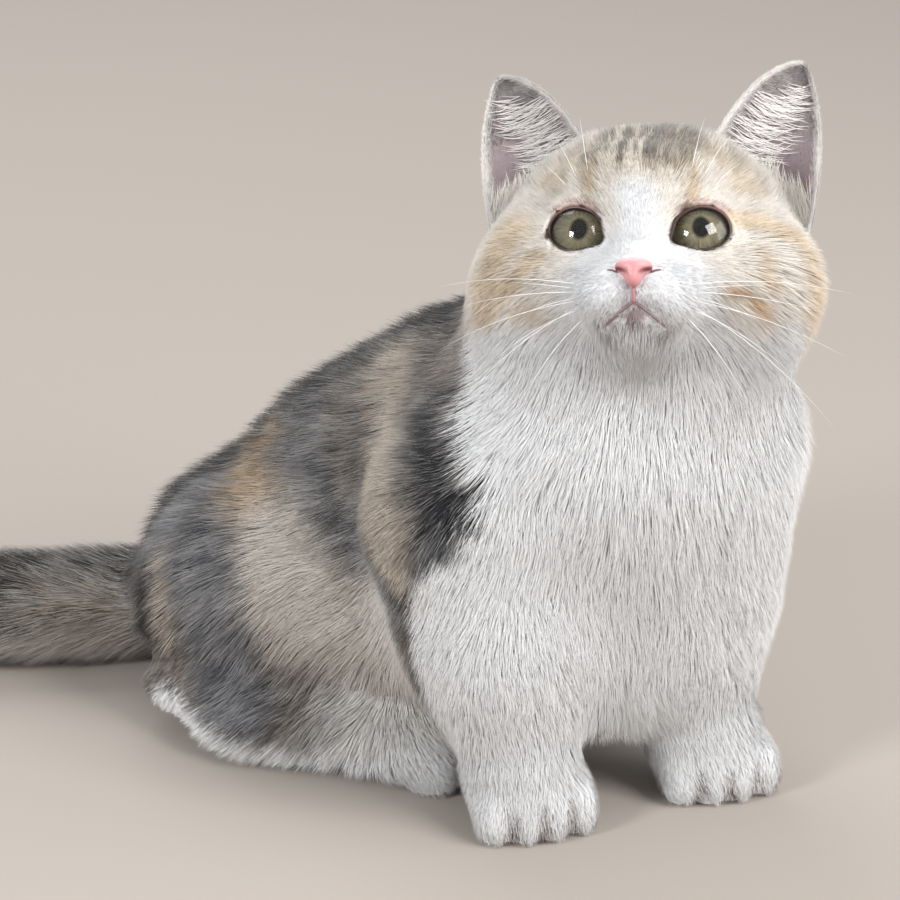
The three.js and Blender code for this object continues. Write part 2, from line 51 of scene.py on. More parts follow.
HIPS_HEADING = 12 * DEG
CHEST_HEADING = -12 * DEG
TAIL_ROOT = (-158, -5, 20)
CHEST_AT = (-5.5, 18)
HEAD_AT = np.array([6, 12.4, 142.0])
HEAD_TURN = (-58 * DEG, 33 * DEG, 3 * DEG)
EYE_RADIUS = 9.4
EYE_AT = (25, 13.9, 3)
EAR_BASE = {-1: (-4.5, -26.7, 18.8), 1: (-4.5, 25.2, 18.8)}
EAR_TIP = {-1: (-7, -40.3, 54.5), 1: (-7, 37.3, 57.5)}


def turned(heading, pitch=0.0, roll=0.0):
    """The matrix whose columns are forward, left and up after a roll, a lift of the nose and a turn."""
    return np.array(
        Matrix.Rotation(heading, 3, "Z") @ Matrix.Rotation(-pitch, 3, "Y") @ Matrix.Rotation(roll, 3, "X")
    )


HEAD = turned(*HEAD_TURN)


def head_out(p):
    return np.asarray(p, float) @ HEAD.T + HEAD_AT


def head_in(p):
    return (np.asarray(p, float) - HEAD_AT) @ HEAD


# The solids were moved as one to centre them over the floor: the eye's ball tells by how much
low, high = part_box("eye_left")
SHIFT = np.array((low + high) / 2) * 1000 - head_out(EYE_AT)


def metres(p):
    return (np.asarray(p, float) + SHIFT) / 1000


# Rounded forms: each function takes points and gives about their distance to the form, negative inside
def ellipsoid(centre, radii, heading=0.0, pitch=0.0, roll=0.0):
    c, r, axes = np.array(centre, float), np.array(radii, float), turned(heading, pitch, roll)

    def form(p):
        q = (p - c) @ axes
        a = np.sqrt((((q / r) ** 2)).sum(1))
        b = np.sqrt((((q / r**2) ** 2)).sum(1))
        return np.where(b < 1e-9, -r.min(), a * (a - 1) / np.maximum(b, 1e-9))

    return form


def rod(start, end, radius_start, radius_end):
    a = np.array(start, float)
    along = np.array(end, float) - a

    def form(p):
        q = p - a
        t = np.clip(q @ along / (along @ along), 0, 1)
        gap = q - t[:, None] * along
        return np.sqrt((gap**2).sum(1)) - (radius_start + (radius_end - radius_start) * t)

    return form


def soft_min(a, b, k):
    h = np.maximum(k - np.abs(a - b), 0) / k
    return np.minimum(a, b) - h * h * k / 4


def blend(k, *forms):
    def form(p):
        d = forms[0](p)
        for other in forms[1:]:
            d = soft_min(d, other(p), k)
        return d

    return form


def sunk(form, depth):
    return lambda p: form(p) + depth


def place(at, heading, forward, left, up):
    c, s = math.cos(heading), math.sin(heading)
    return (at[0] + forward * c - left * s, at[1] + forward * s + left * c, up)


def hips(forward, left, up):
    return place(TAIL_ROOT, HIPS_HEADING, forward, left, up)


def chest_at(forward, left, up):
    return place(CHEST_AT, CHEST_HEADING, forward, left, up)


# How far ahead and to the left of the right foreleg the left one stands
LEFT_FORELEG = (21, 50)


def fore(point, side):
    """A place of the right foreleg, carried to the left one where side is 1."""
    return point if side < 0 else (point[0] + LEFT_FORELEG[0], point[1] + LEFT_FORELEG[1], point[2])


def hind(point, side):
    """A place of the right hind leg, mirrored over the middle of the hips where side is 1."""
    if side < 0:
        return point
    c, s = math.cos(HIPS_HEADING), math.sin(HIPS_HEADING)
    dx, dy = point[0] - TAIL_ROOT[0], point[1] - TAIL_ROOT[1]
    return hips(dx * c + dy * s, dx * s - dy * c, point[2])


TRUNK = (
    ellipsoid(hips(40, 0, 32), (36, 37, 36), HIPS_HEADING, 22 * DEG),
    ellipsoid((-77, 11, 53), (45, 39, 49), 6 * DEG, 28 * DEG),
    ellipsoid((-43, 15, 74), (42, 43, 50), 0, 24 * DEG),
    ellipsoid(chest_at(-1, 0, 78), (38, 47, 44), CHEST_HEADING),
    ellipsoid(chest_at(6, -2, 104), (37, 46.5, 34), CHEST_HEADING),
    ellipsoid((-52, 10, 40), (62, 36, 33), 4 * DEG),
)
trunk_form = blend(12, *TRUNK)
trunk_skin = blend(26, *TRUNK)
neck_form = rod((-31, 17, 96), (-2, 15, 126), 34, 35)


def thigh_form(side):
    return blend(
        10,
        ellipsoid(hips(53, 30 * side, 33), (35, 23, 35), HIPS_HEADING, 12 * DEG, 8 * DEG * side),
        ellipsoid(hips(50, 35 * side, 12), (31, 19, 12.5), HIPS_HEADING),
    )


def leg_form(side):
    shoulder, elbow, wrist = (fore(p, side) for p in ((-24, -27, 80), (-14, -24, 50), (-7, -23.5, 24)))
    return blend(14, rod(shoulder, elbow, 23, 20), rod(elbow, wrist, 19, 16))


def forepaw_plan(side):
    """Middle, heading, length and width."""
    return fore((-5, -21, 10.4), side), -32 * DEG, 15, 15


def hindpaw_plan(side):
    heading = 24 * DEG if side < 0 else 2 * HIPS_HEADING - 24 * DEG
    return hind((-46, -17, 11), side), heading, 14, 13.5


def paw_form(plan, height):
    """A low mound with four toes in front, the middle two further out."""
    centre, heading, length, width = plan
    toes = []
    for n in (-1.5, -0.5, 0.5, 1.5):
        forward = length * (0.46 if abs(n) > 1 else 0.6)
        x, y, _ = place(centre, heading, forward, n * width * 0.5, 0)
        size = (length * 0.5, width * 0.37, height * 0.78)
        toes.append(ellipsoid((x, y, height * 0.56), size, heading + n * 0.1))
    return blend(4.5, ellipsoid(centre, (length, width, height), heading), *toes)


def heel_form(side):
    return rod(hind((-84, -34, 12.5), side), hindpaw_plan(side)[0], 12.5, 11.5)


def smooth_line(points, count):
    """A centripetal Catmull-Rom line through the points, as count + 1 places."""
    p = np.array(points, float)
    p = np.vstack([2 * p[0] - p[1], p, 2 * p[-1] - p[-2]])
    out = []
    for u in np.linspace(0, len(points) - 1, count + 1):
        i = min(int(u), len(points) - 2)
        t = u - i
        a, b, c, d = p[i : i + 4]
        knots = [0.0]
        for m, n in ((a, b), (b, c), (c, d)):
            knots.append(knots[-1] + max(np.linalg.norm(n - m), 1e-6) ** 0.5)
        k0, k1, k2, k3 = knots
        x = k1 + t * (k2 - k1)
        a1 = (k1 - x) / (k1 - k0) * a + (x - k0) / (k1 - k0) * b
        a2 = (k2 - x) / (k2 - k1) * b + (x - k1) / (k2 - k1) * c
        a3 = (k3 - x) / (k3 - k2) * c + (x - k2) / (k3 - k2) * d
        b1 = (k2 - x) / (k2 - k0) * a1 + (x - k0) / (k2 - k0) * a2
        b2 = (k3 - x) / (k3 - k1) * a2 + (x - k1) / (k3 - k1) * a3
        out.append((k2 - x) / (k2 - k1) * b1 + (x - k1) / (k2 - k1) * b2)
    return np.array(out)


TAIL_BEADS = 28
tail_line = smooth_line(
    [
        (-140, -4, 24),
        (-158, -8, 17.5),
        (-176, -24, 15.5),
        (-200, -46, 15),
        (-232, -66, 14.5),
        (-268, -80, 14),
        (-292, -86, 14),
    ],
    TAIL_BEADS,
)
tail_share = np.linspace(0, 1, TAIL_BEADS + 1)
tail_radius = 16.5 * (1 - 0.45 * tail_share**4) + 1.5 * np.sin(math.pi * tail_share)


def tail_form(p):
    d = np.full(len(p), 1e6)
    for i in range(TAIL_BEADS):
        bead = rod(tail_line[i], tail_line[i + 1], tail_radius[i], tail_radius[i + 1])
        d = np.minimum(d, bead(p))
    return d


thighs = {s: thigh_form(s) for s in (-1, 1)}
legs = {s: leg_form(s) for s in (-1, 1)}
forepaws = {s: paw_form(forepaw_plan(s), 11.5) for s in (-1, 1)}
heels = {s: heel_form(s) for s in (-1, 1)}
hindpaws = {s: paw_form(hindpaw_plan(s), 11) for s in (-1, 1)}


def pair(make):
    return [make(1), make(-1)]


face_form = blend(
    7,
    blend(
        10,
        ellipsoid((-7, 0, 8), (37, 36, 32.5)),
        ellipsoid((6, 0, -1), (32, 39, 22)),
        *pair(lambda s: ellipsoid((5, 23 * s, -5), (24, 19, 17))),
    ),
    ellipsoid((22, 0, 14), (17, 22, 14)),
    rod((27, 0, 12), (37, 0, -6), 9, 7.5),
    *pair(lambda s: ellipsoid((32.5, 7 * s, -14.5), (12, 9.5, 8.5))),
    ellipsoid((29, 0, -21.5), (11, 9, 6.5)),
)


def eye_middle(side):
    return np.array([EYE_AT[0], EYE_AT[1] * side, EYE_AT[2]])


def lid_form(side):
    return ellipsoid(eye_middle(side), (EYE_RADIUS + 0.8,) * 3)


def head_form(depth):
    """The head's skin: the face sunk by the coat's depth, with lids that stay over the eyes."""
    lids = blend(3, sunk(face_form, depth), lid_form(1), lid_form(-1))

    def form(p):
        return lids(head_in(p))

    return form


# How deep the coat is, from its outside to the skin
DEPTH = {"trunk": 4.5, "leg": 3.0, "paw": 1.0, "tail": 4.5, "face": 1.7}


def body_form(depth):
    return blend(
        9,
        blend(
            24,
            blend(
                14,
                sunk(trunk_skin, depth["trunk"] + 0.8),
                sunk(neck_form, depth["trunk"]),
                *(sunk(thighs[s], depth["trunk"]) for s in (-1, 1)),
                *(sunk(heels[s], depth["leg"]) for s in (-1, 1)),
            ),
            *(sunk(legs[s], depth["leg"]) for s in (-1, 1)),
        ),
        blend(6, *(sunk(paws[s], depth["paw"]) for paws in (forepaws, hindpaws) for s in (-1, 1))),
        sunk(tail_form, depth["tail"]),
    )


# How far the skin and the tufts stay above the floor
FLOOR_GAP, TUFT_FLOOR_GAP = 0.35, 0.25


def whole_form(depth):
    body, head = body_form(depth), head_form(depth["face"])

    def form(p):
        return np.maximum(soft_min(body(p), head(p), 20), FLOOR_GAP - p[:, 2])

    return form


# The opening between the lids, as a cone around the line of sight
GAZE = {s: turned(14 * DEG * s, 0, 0) @ turned(0, 0, 8 * DEG * s) for s in (-1, 1)}

# Half its width, its height as a share of its width, how it widens forwards, and the inner corner's length
LID_HALF, LID_TALL, LID_FLARE, LID_CORNER = 6.65, 0.77, 0.2, 0.24


def inner_corner(turn, side):
    """How much further the lids open towards the nose, a little below the middle."""
    corner = np.where(side > 0, math.pi + 0.42, -0.42)
    away = np.abs((turn - corner + math.pi) % (2 * math.pi) - math.pi)
    return 1 + LID_CORNER * np.exp(-((away / 0.3) ** 2))


def lid_middle(side):
    return eye_middle(side) + (6, 1.2 * side, 0)


def round_eye(q, side):
    """Places in the head's measure as forward of the middle of the lids, angle round it and reach from it."""
    g = (q - lid_middle(side)) @ GAZE[side]
    turn = np.arctan2(g[:, 2] / LID_TALL, g[:, 1])
    return g[:, 0], turn, np.hypot(g[:, 1], g[:, 2] / LID_TALL) / inner_corner(turn, side)


def lid_opening(side):
    def form(q):
        forward, _, reach = round_eye(q, side)
        return np.maximum(reach - (LID_HALF + LID_FLARE * forward), -6 - forward)

    return form


lid_openings = {s: lid_opening(s) for s in (1, -1)}


def slope(form, p, step=0.3):
    out = np.empty_like(p)
    for axis in range(3):
        move = np.zeros(3)
        move[axis] = step
        out[:, axis] = form(p + move) - form(p - move)
    return out / (2 * step)


def unit(v):
    return v / np.maximum(np.linalg.norm(v, axis=-1, keepdims=True), 1e-9)


def net(form, low, high, step, coarse=4, margin=10.0):
    """A closed mesh of four-sided faces over a form, one vertex to each cell that the surface crosses.

    The form is read on a grid coarse steps wide, then at each step within the margin of its surface.
    """
    low, high = np.array(low, float), np.array(high, float)
    count = (np.ceil((high - low) / step / coarse).astype(int)) * coarse + 1
    axes = [low[i] + step * np.arange(count[i]) for i in range(3)]
    rough = np.stack(np.meshgrid(*(a[::coarse] for a in axes), indexing="ij"), -1)
    rough_d = form(rough.reshape(-1, 3)).reshape(rough.shape[:3])
    nearest = [
        np.minimum((np.arange(n) + coarse // 2) // coarse, rough.shape[i] - 1) for i, n in enumerate(count)
    ]
    d = rough_d[np.ix_(*nearest)]
    near = np.argwhere(np.abs(d) < margin)
    points = np.stack([axes[i][near[:, i]] for i in range(3)], -1)
    values = np.concatenate([form(chunk) for chunk in np.array_split(points, max(len(points) // 200000, 1))])
    d[near[:, 0], near[:, 1], near[:, 2]] = values
    inside = d < 0
    corners = np.zeros(np.array(inside.shape) - 1, int)
    shifts = [(i, j, k) for i in (0, 1) for j in (0, 1) for k in (0, 1)]
    n = corners.shape
    for i, j, k in shifts:
        corners += inside[i : i + n[0], j : j + n[1], k : k + n[2]]
    cells = np.argwhere((corners > 0) & (corners < 8))
    number = np.full(n, -1)
    number[cells[:, 0], cells[:, 1], cells[:, 2]] = np.arange(len(cells))
    total, hits = np.zeros((len(cells), 3)), np.zeros(len(cells))
    for a in shifts:
        for axis in range(3):
            if a[axis]:
                continue
            b = list(a)
            b[axis] = 1
            d0 = d[tuple((cells + a).T)]
            d1 = d[tuple((cells + b).T)]
            crossed = (d0 < 0) != (d1 < 0)
            t = np.where(crossed, d0 / np.where(crossed, d0 - d1, 1), 0)
            at = np.tile(np.array(a, float), (len(cells), 1))
            at[:, axis] += t
            total[crossed] += at[crossed]
            hits += crossed
    verts = low + step * (cells + total / hits[:, None])
    faces = []
    for a in range(3):
        b, c = (a + 1) % 3, (a + 2) % 3
        first = np.take(inside, range(inside.shape[a] - 1), a)
        second = np.take(inside, range(1, inside.shape[a]), a)
        edges = np.argwhere(first != second)
        keep = np.ones(len(edges), bool)
        for axis in (b, c):
            keep &= (edges[:, axis] > 0) & (edges[:, axis] < inside.shape[axis] - 1)
        edges = edges[keep]
        outward = first[tuple(edges.T)]
        quad = []
        for db, dc in ((-1, -1), (0, -1), (0, 0), (-1, 0)):
            cell = edges.copy()
            cell[:, b] += db
            cell[:, c] += dc
            quad.append(number[tuple(cell.T)])
        quad = np.stack(quad, 1)
        quad[~outward] = quad[~outward][:, ::-1]
        faces.append(quad)
    return verts, np.concatenate(faces)


def settle(form, verts, faces, rounds=3, ease=0.5):
    """Evens out a net and brings its vertices exactly onto the form."""
    ends = np.concatenate([faces[:, [0, 1]], faces[:, [1, 2]], faces[:, [2, 3]], faces[:, [3, 0]]])
    ends = np.concatenate([ends, ends[:, ::-1]])
    weight = np.bincount(ends[:, 0], minlength=len(verts))[:, None]
    for turn in range(rounds):
        if ease:
            mean = np.stack([np.bincount(ends[:, 0], verts[ends[:, 1], i], len(verts)) for i in range(3)], 1)
            verts = verts + ease * (mean / weight - verts)
        g = slope(form, verts)
        d = form(verts)
        verts = verts - g * (d / np.maximum((g**2).sum(1), 0.2))[:, None]
    return verts


def mesh_of(name, verts, faces, smooth=True):
    """A mesh object in the frame of the solids from places in millimetres."""
    mesh = bpy.data.meshes.new(name)
    faces = np.asarray(faces)
    mesh.vertices.add(len(verts))
    mesh.vertices.foreach_set("co", metres(verts).astype(np.float32).ravel())
    mesh.loops.add(faces.size)
    mesh.loops.foreach_set("vertex_index", faces.astype(np.int32).ravel())
    mesh.polygons.add(len(faces))
    mesh.polygons.foreach_set("loop_start", (np.arange(len(faces)) * faces.shape[1]).astype(np.int32))
    mesh.polygons.foreach_set("use_smooth", np.full(len(faces), smooth))
    mesh.update(calc_edges=True)
    mesh.validate()
    obj = bpy.data.objects.new(name, mesh)
    bpy.context.scene.collection.objects.link(obj)
    return obj


def finished(obj, material, nodes=()):
    obj.data.materials.clear()
    obj.data.materials.append(material)
    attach(obj, "root")
    if nodes:
        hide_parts(*nodes)
    return obj


def cloud(p, size, seed=0, octaves=1):
    """Smooth chance variation through space, from 0 to 1, with features about size millimetres across."""
    total, weight, share = np.zeros(len(p)), 0.0, 1.0
    for octave in range(octaves):
        q = p / size * 2**octave + 17.3 * seed + 5.1 * octave
        cell = np.floor(q).astype(np.int64)
        f = q - cell
        f = f * f * (3 - 2 * f)
        value = np.zeros(len(p))
        for corner in range(8):
            bits = np.array([corner & 1, corner >> 1 & 1, corner >> 2 & 1])
            c = cell + bits
            h = (c[:, 0] * 73856093) ^ (c[:, 1] * 19349663) ^ (c[:, 2] * 83492791)
            h = h ^ (seed * 2654435761 + octave)
            h = (h ^ (h >> 13)) * 1274126177 & 0x7FFFFFFF
            h = (h ^ (h >> 15)) & 0xFFFFF
            value += h / 0xFFFFF * np.prod(np.where(bits, f, 1 - f), axis=1)
        total += share * value
        weight += share
        share *= 0.5
    return total / weight


def rgb(code):
    """A linear colour from an sRGB hex value."""
    s = np.array([int(code[i : i + 2], 16) / 255 for i in (1, 3, 5)])
    return np.where(s <= 0.04045, s / 12.92, ((s + 0.055) / 1.055) ** 2.4)


def ramp(value, start, end):
    """0 before the start, 1 past the end and smooth between, whichever of the two is the larger."""
    t = np.clip((value - start) / (end - start), 0, 1)
    return t * t * (3 - 2 * t)


# Lie of the coat: at each place, the way its hair points
LIE_REACH = 19
LIE_BODY = [
    ((-35, 15, 128), (-0.8, 0, -0.5)),
    ((-80, 10, 102), (-0.9, 0, -0.35)),
    ((-125, 0, 66), (-0.8, -0.1, -0.6)),
    ((-70, -30, 66), (-0.88, -0.1, -0.42)),
    ((-64, 50, 66), (-0.88, 0.1, -0.42)),
    ((-45, -28, 95), (-0.85, 0, -0.5)),
    ((-40, 55, 95), (-0.85, 0, -0.5)),
    ((-20, -46, 86), (-0.6, 0, -0.75)),
    ((6, 55, 86), (-0.6, 0, -0.75)),
    ((-102, -46, 38), (-0.35, -0.15, -0.9)),
    ((-118, 30, 38), (-0.55, 0.15, -0.8)),
    ((-112, -50, 12), (-0.6, -0.2, -0.7)),
    ((-92, -48, 9), (-0.8, -0.3, -0.5)),
    ((-128, 32, 12), (0.1, 0.1, -1)),
    ((-138, -20, 14), (0.3, 0.1, -1)),
    ((-75, -48, 16), (-0.5, -0.4, -0.75)),
    ((-92, 58, 16), (-0.5, 0.4, -0.75)),
    ((36, 8, 100), (0.1, 0, -1)),
    ((30, 36, 90), (0.05, 0.15, -1)),
    ((20, -22, 90), (-0.05, -0.15, -1)),
    ((34, 10, 60), (0.1, 0, -1)),
    ((10, -40, 100), (-0.2, -0.1, -1)),
    ((26, 50, 104), (0.0, 0.2, -1)),
    ((-16, -44, 55), (-0.15, 0, -1)),
    ((-8, -40, 30), (0, 0, -1)),
    ((8, -26, 40), (0.1, 0, -1)),
    ((12, 46, 40), (0.1, 0, -1)),
    ((-4, -16, 22), (0.3, -0.1, -1)),
    ((16, 30, 22), (0.3, 0.1, -1)),
    ((6, -28, 12), (0.8, -0.5, -0.5)),
    ((28, 22, 12), (0.8, -0.5, -0.5)),
    ((-34, -12, 12), (0.85, 0.35, -0.35)),
    ((-50, 38, 12), (0.9, 0, -0.35)),
    ((-60, 10, 10), (-0.8, 0, -0.4)),
]
lie_places = np.array([a for a, b in LIE_BODY], float)
lie_ways = unit(np.array([b for a, b in LIE_BODY], float))
NOSE_AT = np.array([44, 0, -8.0])


def lie_on_body(p):
    total = np.zeros_like(p)
    for at, way in zip(lie_places, lie_ways):
        near = np.exp(-((p - at) ** 2).sum(1) / (2 * LIE_REACH**2)) + 1e-9
        total += near[:, None] * way
    return unit(total)


def lie_on_tail(p):
    d = ((p[:, None, :] - tail_line[None]) ** 2).sum(2)
    i = np.clip(d.argmin(1), 1, TAIL_BEADS - 1)
    return unit(tail_line[i + 1] - tail_line[i - 1])


def ear_across(side):
    """The way from the inner to the outer edge of an ear."""
    return unit(np.array([-0.25, 0.8 * side, -0.62]))


def near_ears(q):
    """1 along the foot of each ear, 0 well away from it."""
    best = np.zeros(len(q))
    for side in (-1, 1):
        reach = 15 * ear_across(side)
        foot_of_ear = np.array([EAR_BASE[side] - reach, EAR_BASE[side] + reach]) + (3, 0, 0)
        best = np.maximum(best, stroke_near(q, foot_of_ear, 12))
    return best


def lie_on_head(p):
    """Hair parts at the nose and runs up the bridge, out over the cheeks and down the chin."""
    q = head_in(p)
    way = unit(q - NOSE_AT) * (0.7, 1, 1)
    cheek = ramp(np.abs(q[:, 1]), 16, 34)[:, None] * ramp(q[:, 2], 18, -4)[:, None]
    way = way + cheek * np.stack([np.full(len(q), -0.3), 0 * q[:, 1], np.full(len(q), -0.45)], 1)
    behind = ramp(q[:, 0], 6, -18)[:, None]
    way = way * (1 - behind) + behind * np.array([-0.5, 0, -0.8])
    chin = ramp(q[:, 2], -19, -24)[:, None] * ramp(q[:, 0], 8, 24)[:, None]
    at_ear = near_ears(q)[:, None] * 0.8
    sideways = np.sign(q[:, 1]) * 0.3
    way = unit(way) * (1 - at_ear) + at_ear * np.stack([0 * sideways - 0.2, sideways, 0 * sideways + 1], 1)
    way = way * (1 - 0.6 * chin) + chin * np.array([-0.1, 0, -0.8])
    return unit(way) @ HEAD.T


# Kinds of coat: how long, how wide, how far it stands out, tufts to the square millimetre, and clumping
COAT = {
    "trunk": dict(length=10.5, width=0.42, proud=0.45, density=3.1, clump=0.28),
    "leg": dict(length=6.5, width=0.36, proud=0.2, density=4.0, clump=0.2),
    "paw": dict(length=2.8, width=0.28, proud=0.1, density=6.0, clump=0.0),
    "tail": dict(length=10.0, width=0.44, proud=0.6, density=2.7, clump=0.25),
    "head": dict(length=5.5, width=0.34, proud=0.25, density=4.5, clump=0.12),
}
KINDS = list(COAT)
kind_forms = {
    "trunk": blend(14, trunk_form, neck_form, *thighs.values(), *heels.values()),
    "leg": blend(14, legs[1], legs[-1]),
    "paw": blend(6, *forepaws.values(), *hindpaws.values()),
    "tail": tail_form,
    "head": lambda p: face_form(head_in(p)) - 2,
}


def kind_shares(p):
    near = np.stack([kind_forms[k](p) for k in KINDS], 1)
    share = np.exp(-(near - near.min(1, keepdims=True)) / 2.5)
    return share / share.sum(1, keepdims=True)


# Markings. Each stroke of the brush is a line of places on the right side with a reach and a colour,
# and lies on the left side too, as the body's middle plane carries it over.
WHITE, CREAM, BUFF, ORANGE = (rgb(c) for c in ("#f4f5f7", "#cdc5bc", "#b3a89b", "#b39b80"))
SLATE, CHARCOAL, SOOT, TICKED = (rgb(c) for c in ("#757578", "#3b3c40", "#2b2725", "#8b8178"))


def along_body(p):
    """A place as seen from the side: how far forward, allowing for the body's bend, and how high."""
    bend = np.clip((p[:, 0] + 70) / 60, -1, 1) * 0.3
    return np.stack([p[:, 0] - bend * (p[:, 1] - 11), p[:, 2]], 1)


def gap_to_line(q, line):
    best = np.full(len(q), 1e6)
    for a, b in zip(line[:-1], line[1:]):
        along = b - a
        t = np.clip((q - a) @ along / max(along @ along, 1e-9), 0, 1)
        best = np.minimum(best, np.linalg.norm(q - a - t[:, None] * along, axis=1))
    return best


def stroke_near(q, line, reach):
    """1 near a line, down to 0 at 1.4 times its reach."""
    return 1 - ramp(gap_to_line(q, np.array(line, float)), 0.4 * reach, 1.4 * reach)


BODY_STROKES = [
    ([(-50, -3, 122), (-35, -13, 122), (-24, -22, 112)], 13, TICKED),
    ([(-59, -8, 114), (-47, -22, 101), (-33, -39, 91), (-26, -47, 84), (-25, -48, 77)], 9, BUFF * 1.12),
    ([(-88, -2, 98), (-75, -20, 84), (-63, -27, 71), (-42, -38, 67), (-31, -44, 63)], 8.5, SLATE),
    ([(-99, -11, 88), (-105, -15, 77), (-91, -27, 70), (-79, -30, 62), (-72, -31, 54)], 8, ORANGE),
    ([(-78, -31, 60), (-66, -30, 49), (-54, -28, 40), (-48, -25, 30), (-46, -27, 20)], 17, CREAM),
    ([(-42, -38, 54), (-38, -36, 42), (-38, -30, 28)], 13, rgb("#e4dfd9")),
    ([(-124, -22, 63), (-97, -38, 52), (-90, -42, 36), (-85, -46, 23)], 13, SLATE * 1.25),
    ([(-88, -45, 27), (-78, -45, 20)], 7, CHARCOAL * 4),
    ([(-112, -41, 51), (-107, -46, 37)], 5, BUFF),
    ([(-128, -37.5, 47), (-121, -42, 43.5), (-117.2, -44.5, 38), (-114.8, -46, 29)], 6.5, SOOT),
    ([(-25, -28, 109), (-19, -35, 103), (-13, -40, 94), (-10, -43, 84)], 8, CHARCOAL * 0.9),
    ([(-12, -44, 82), (-17, -48, 76)], 6, CHARCOAL * 3.2),
]
# Where the long hair of the chest parts a little, laid as thin grey lines of painted shade
SHADED_PARTINGS = [
    [(29.4, -9.2, 114), (30.2, -8.6, 110), (29.4, -9.7, 102.4), (27.4, -11.4, 95.7)],
    [(24.6, -16.2, 110.8), (22.7, -18.7, 103.2), (20.5, -19.7, 95.1)],
    [(32.9, -3.5, 105.4), (33.4, 1.1, 95)],
    [(31, 11.3, 71.3), (31.4, 16.4, 64.4), (31.8, 22, 58.7)],
]
# The dark line of the back, from the neck to the root of the tail
SPINE = np.array(
    [
        (-30, 16, 132), (-60, 14, 122), (-85, 10, 106), (-106, 7, 90), (-126, 1, 70), (-142, -4, 48),
        (-152, -7, 34),
    ],
    float,
)
# Where the dark saddle ends and the white chest begins, from top to bottom
SHOULDER = along_body(
    np.array(
        [
            (-18, 0, 150), (-23.6, -16.4, 128.8), (-20.6, -22.6, 120.5), (-18, -27, 113.9),
            (-12.8, -30.9, 108.6), (-7.4, -34.5, 100.3), (-6.5, -36.7, 91.2), (-7.5, -38, 82),
            (-15.5, -46.7, 79), (-19.5, -49, 77), (-22, -47.2, 60.2),
        ]
    )
)[::-1]


def coat_colour(p, jitter=1.0):
    """The colour of the coat rooted at each place, before the difference from one tuft to the next."""
    q = along_body(p)
    fray = (cloud(p * (0.25, 1, 1), 3.0, 5, 2) - 0.5) * 9 * jitter
    drift = np.stack([fray, (cloud(p, 7, 9, 2) - 0.5) * 5], 1)
    q = q + drift
    share = kind_shares(p)
    colour = np.tile(WHITE, (len(p), 1))

    def lay(mask, hue):
        nonlocal colour
        colour = colour + mask[:, None] * (hue - colour)

    edge = np.interp(q[:, 1], SHOULDER[:, 1], SHOULDER[:, 0])
    saddle = ramp(q[:, 0] - edge, 1.5, -1.5)
    hem = 14 + 1.5 * ramp(p[:, 0], -98, -108) - 9 * ramp(p[:, 0], -112, -122)
    hem = hem - 4.5 * ramp(p[:, 0], -92, -80)
    saddle *= ramp(q[:, 1], hem, hem + 4)
    saddle *= 1 - share[:, KINDS.index("paw")]
    under = ramp(q[:, 1], 50, 24) * ramp(q[:, 0], -74, -52)
    saddle *= 1 - 0.5 * under
    lay(saddle, TICKED * 0.8)
    for line, reach, hue in BODY_STROKES:
        lay(saddle * stroke_near(q, along_body(np.array(line, float)), reach), hue)
    lay(saddle * stroke_near(p + fray[:, None], SPINE, 15) * 0.6, SOOT)
    lay(saddle * stroke_near(p + 0.5 * fray[:, None], SPINE + (0, -6, 0), 13) * 0.92, SOOT * 0.9)
    # Painted shade: grey lines in the partings of the chest hair
    for shaded_parting in SHADED_PARTINGS:
        lay(stroke_near(p + 0.12 * fray[:, None], shaded_parting, 2.2) * 0.4, rgb("#a9a2a0"))

    tail = share[:, KINDS.index("tail")] * ramp(p[:, 0], -140, -150)
    far = ((p[:, None, :] - tail_line[None]) ** 2).sum(2).argmin(1) / TAIL_BEADS
    top = ramp(p[:, 2] + fray * 0.6, 7, 17)
    tail_paint = BUFF * 0.72 + ramp(far + 0.008 * fray, 0.29, 0.4)[:, None] * (TICKED * 0.42 - BUFF * 0.72)
    tail_paint = tail_paint + ramp(far, 0.62, 0.85)[:, None] * (SOOT * 1.2 - tail_paint)
    pale = CREAM * 0.8
    lay(tail, pale + top[:, None] * (tail_paint - pale))
    lay(tail * ramp(p[:, 2] + fray * 0.4, 22, 29) * 0.8, SOOT)

    # Painted shade darkens the coat in the partings between the toes
    lay(share[:, KINDS.index("paw")] * toe_gap_shade(p), rgb("#85766f"))
    head = share[:, KINDS.index("head")]
    colour = colour + head[:, None] * (face_colour(head_in(p)) - colour)
    return colour


def toe_gap_shade(p):
    """1 in the partings between the toes of the forepaws and hind paws, which are darkened there as painted
    shade.
    """
    best = np.zeros(len(p))
    for centre, heading, length, width in (plan(s) for plan in (forepaw_plan, hindpaw_plan) for s in (-1, 1)):
        c, s = math.cos(heading), math.sin(heading)
        dx, dy = p[:, 0] - centre[0], p[:, 1] - centre[1]
        forward, left = dx * c + dy * s, dy * c - dx * s
        for n in (-1, 0, 1):
            away = np.abs(left - n * width * (0.5 + 0.03 * (forward / length)))
            gap = ramp(away, 1.5, 0.4) * ramp(forward, 0.5 * length, 0.85 * length) * ramp(p[:, 2], 15, 9)
            best = np.maximum(best, gap * (forward < 2 * length))
    return best


def on_face(point, depth):
    """Where the line from within the mouth through a point comes out of the face."""
    start = np.array([18, 0, -10.0])
    way = unit(np.array(point, float) - start)
    far = 0.0
    for _ in range(80):
        d = float(face_form((start + way * far)[None])[0]) + depth
        if d > -1e-3:
            break
        far += max(-d * 0.7, 0.02)
    return start + way * far


def face_line(points, side, depth):
    """A line laid on the face, its places given on the left side."""
    return [on_face((x, y * side, z), depth) for x, y, z in points]


